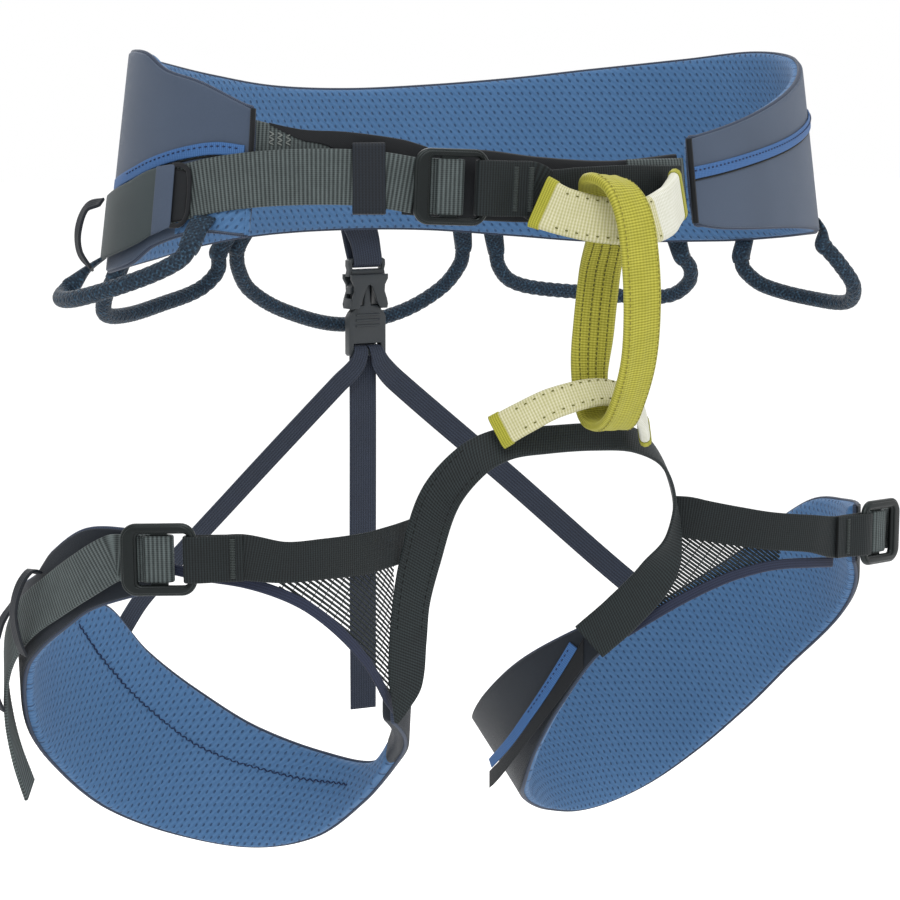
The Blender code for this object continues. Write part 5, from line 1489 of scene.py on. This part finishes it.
def build_rear_straps():
    """The strap from the belt to the socket, and the elastic risers from the plug to the legs."""
    right_end = leg_point("right", 178, -0.2080, 0.0) / MM
    left_end = leg_point("left", 140, -0.2240, 0.0012) / MM
    straps = {
        "rear_strap": [(9.5, 113.2, -14, 0, -1, -0.1, 17), (13, 115.0, -26, 0, -1, -0.1, 17),
                       (18, 116.8, -36, 0, -1, 0, 16), (19.7, 116.9, -43.5, 0, -1, 0, 15.2),
                       (20.3, 117.2, -47.2, 0, -0.95, -0.3, 15), (20.5, 118.4, -48.9, 0, -0.6, -0.8, 15),
                       (20.5, 120, -49.2, 0, 0, -1, 15), (20.5, 121.6, -48.9, 0, 0.6, -0.8, 15),
                       (20.3, 122.9, -47.2, 0, 0.95, -0.3, 15), (19.8, 123.2, -43.5, 0, 1, 0, 15.2),
                       (18, 122.6, -36, 0, 1, 0, 16), (15.8, 120.8, -29, 0, 1, 0, 17)],
        "rear_riser_right": [(16.8, 120.2, -86.7, 0, 0, -1, 6.8), (16.7, 118.0, -87.1, 0, 0.6, -0.8, 6.8),
                             (16.3, 117.0, -89.4, 0, 1, -0.2, 7.4), (13.6, 117.0, -95.4, 0, 1, 0, 9),
                             (4, 117.3, -103.6, 0, 1, 0, 9.5),
                             (-55, 108.5, -149, -0.1, 1, 0, 9.5), (-108, 98.4, -190, -0.1, 1, 0.1, 9.5),
                             (*right_end, -0.1, 1, 0.1, 9.5)],
        "rear_riser_left": [(24.2, 120.2, -86.7, 0, 0, -1, 6.8), (24.3, 118.0, -87.1, 0, 0.6, -0.8, 6.8),
                            (25, 117.0, -89.4, 0, 1, -0.2, 7.6), (28.2, 117.6, -95.8, 0, 1, 0, 10),
                            (37, 119.0, -104, 0, 1, 0, 11),
                            (92, 106.5, -152, 0.2, 1, 0, 11), (150, 95.2, -203, 0.4, 0.9, 0.05, 11),
                            (*left_end, 0.64, 0.77, 0.05, 11)],
    }
    for node, rows in straps.items():
        thickness = WEBBING_THICKNESS if node == "rear_strap" else ELASTIC_THICKNESS
        piece = strap(node + "_tape", smooth_route(rows, 1.0), thickness, ELASTIC, steps=10)
        dress(piece, "harness", "elastic", node)


def build_rear_tail():
    """The loose elastic tail that hangs from the plug."""
    tail = [(21.5, 124.2, -85.5, 0, 1, 0, 14.5), (21.4, 124, -125, 0, 1, 0, 14.5),
            (20.5, 123, -185, 0, 1, 0, 14.5), (19.5, 121.5, -259, 0, 1, 0, 14)]
    path = smooth_route(tail, 1.2)
    piece = strap("rear_riser_tail_tape", path, ELASTIC_THICKNESS, ELASTIC, steps=12)
    dress(piece, "harness", "elastic", "rear_riser_tail")
    line = [Vector(row[:3]) * MM for row in path]
    length = sum((b - a).length for a, b in zip(line, line[1:]))
    tuple(line[0])
    [tuple(p) for p in line]


# ---------------------------------------------------------------- gear loops
GEAR_LOOPS = {
    "gear_loop_front_right": [(-160, -43, -26), (-163, -41.5, -31), (-170.5, -35, -36.5),
                              (-181, -20, -43), (-187, 2, -48.5), (-184.5, 21, -50), (-178.5, 31.5, -48.5),
                              (-174, 32.5, -45.5)],
    "gear_loop_rear_right": [(-128, 83, -46), (-130, 89.5, -55), (-125, 100, -64), (-108, 112, -66),
                             (-86, 120, -62.5), (-65, 124, -57), (-58, 120, -49), (-59.5, 116, -40)],
    "gear_loop_centre": [(-49, 118, -38), (-45, 124, -48), (-35, 131, -59), (-13, 137, -70), (20, 140, -78),
                         (48, 134, -73), (66, 126, -62), (72, 118, -50), (71.5, 114.5, -41)],
    "gear_loop_rear_left": [(86, 108.5, -43), (88.5, 110, -51), (95, 110.5, -58), (107, 108.5, -62),
                            (133, 99, -65), (153, 84, -67), (163, 72, -65.5), (166, 63, -59),
                            (163, 58, -52), (157.5, 57.5, -46)],
    "gear_loop_front_left": [(165.5, 22.5, -44.5), (167.5, 22.5, -51), (176, 18, -58.5), (189, -4, -64),
                             (188.5, -27, -63.5), (180, -41, -55), (169, -43.5, -44), (162, -41, -36)],
}


def build_gear_loops():
    """Braided cord loops, and the fabric tabs that hold their ends to the belt."""
    radius = GEAR_LOOP_DIAMETER / 2

    def braid(length, turn):
        """Height of the crossing strands at a place on the cord's surface."""
        one = math.cos(2 * math.pi * length / CORD_BRAID_PITCH + 4 * turn)
        two = math.cos(2 * math.pi * length / CORD_BRAID_PITCH - 4 * turn)
        return 0.00022 * (max(one, two) - 0.4)

    for name, points in GEAR_LOOPS.items():
        route = smooth_route(points, 0.7)
        cord = tube(name + "_braid", route, radius, GEAR_CORD, 28, relief=braid)
        dress(cord, name, "gear_loop", name)
        for which, end, inner in (("first", route[0], route[6]), ("last", route[-1], route[-7])):
            build_cord_tab(f"{name}_tab_{which}", mm(end[:3]), mm(inner[:3]))


def build_cord_tab(name, end, inner):
    """A folded tab from the belt's outer face that swallows the end of a gear loop."""
    half_width = WAIST_HALF_WIDTH["left" if end.x > 0 else "right"]
    angle = math.degrees(math.atan2(end.x / half_width, -end.y / WAIST_HALF_DEPTH)) % 360
    bottom = blend(BELT_BOTTOM, angle)[0] * MM
    root = belt_point(angle, bottom + 0.0060, -0.0004)
    outward = belt_outward(angle, bottom)
    stations = [(root, 0.0050, 0.0006), (root.lerp(end, 0.45) + outward * 0.0012, 0.0047, 0.0016),
                (end, 0.0040, 0.0037), (end.lerp(inner, 0.55), 0.0037, 0.0037)]
    rows = []
    for place, half, thick in stations:
        rows.append((*(place / MM), *outward, half, thick))
    path = smooth_route(rows, 0.6)
    loops, uvs, length, before = [], [], 0.0, None
    for row, (place, _, out, across, half) in zip(path, frames(path)):
        thick = row[7]
        length += (place - before).length if before else 0.0
        before = place
        loop, uv = [], []
        for j in range(24):
            turn = 2 * math.pi * j / 24
            y = math.copysign(abs(math.cos(turn)) ** 0.7, math.cos(turn)) * half / MM
            z = math.copysign(abs(math.sin(turn)) ** 0.7, math.sin(turn)) * thick
            loop.append(place + across * y + out * z)
            uv.append((length, y))
        loops.append(loop)
        uvs.append(uv + uv[:1])
    dress(skin(name, loops, uvs, GEAR_CORD), "harness", "gear_loop")


# ---------------------------------------------------------------- stage, light and camera
def build_stage():
    """A pale floor well below the hanging harness, and soft light."""
    mesh = bpy.data.meshes.new("floor")
    corners = [(x, y, FLOOR_HEIGHT) for x, y in ((-9, -6), (9, -6), (9, 12), (-9, 12))]
    mesh.from_pydata(corners, [], [(0, 1, 2, 3)])
    floor = bpy.data.objects.new("floor", mesh)
    bpy.context.scene.collection.objects.link(floor)
    paper = Finish("pale_floor", 0.9)
    grain = paper.cloud(0.4, 2.0)
    paper.put(paper.shader.inputs["Emission Color"], (1.0, 1.0, 1.0))
    paper.put(paper.shader.inputs["Emission Strength"], 0.14)
    mesh.materials.append(paper.done(paper.mix((0.93, 0.93, 0.93), (0.96, 0.96, 0.96), grain)))
    scene = bpy.context.scene
    world = bpy.data.worlds.new("studio")
    scene.world = world
    world.use_nodes = True
    world.node_tree.nodes["Background"].inputs["Color"].default_value = (1.0, 1.0, 1.0, 1.0)
    world.node_tree.nodes["Background"].inputs["Strength"].default_value = 1.0
    scene.view_settings.view_transform = "Standard"
    target = Vector((0, 0, -0.12))
    for name, place, size, power in (("key", (-0.9, -1.5, 1.3), 0.9, 20), ("fill", (1.6, -1.2, 0.4), 1.2, 5),
                                     ("top", (0.2, 0.3, 1.7), 1.0, 9), ("rear", (0.5, 1.6, 0.6), 1.0, 7)):
        lamp = bpy.data.lights.new(name, "AREA")
        lamp.energy = power
        lamp.size = size
        obj = bpy.data.objects.new(name, lamp)
        obj.location = place
        obj.rotation_euler = (target - Vector(place)).to_track_quat("-Z", "Y").to_euler()
        scene.collection.objects.link(obj)


def build_camera():
    """The camera, level with the waist belt and to the wearer's right."""
    azimuth, elevation = math.radians(CAMERA_AZIMUTH), math.radians(CAMERA_ELEVATION)
    right = Vector((math.cos(azimuth), math.sin(azimuth), 0))
    back = Vector((math.sin(azimuth) * math.cos(elevation), -math.cos(azimuth) * math.cos(elevation),
                   math.sin(elevation)))
    camera = bpy.data.cameras.new("camera")
    camera.lens = CAMERA_LENS
    camera.sensor_width = 36
    obj = bpy.data.objects.new("camera", camera)
    turn = Matrix((right, back.cross(right), back)).transposed().to_4x4()
    obj.matrix_world = Matrix.Translation(Vector(CAMERA_TARGET) + back * CAMERA_DISTANCE) @ turn
    bpy.context.scene.collection.objects.link(obj)
    bpy.context.scene.camera = obj


build_camera()
build_stage()
build_belt_pad()
build_belt_ends()
build_tongues()
build_belt_accents()
build_webbing_tunnel()
build_tunnel_mouth()
build_waist_webbing()
build_buckles()
build_front_straps()
build_tie_in()
build_leg_bridge()
build_leg_pads()
build_leg_front_ends()
build_leg_accent()
build_leg_mesh()
build_leg_webbing()
build_keepers()
build_waist_keeper()
build_rear_buckle()
build_rear_straps()
build_rear_tail()
build_gear_loops()
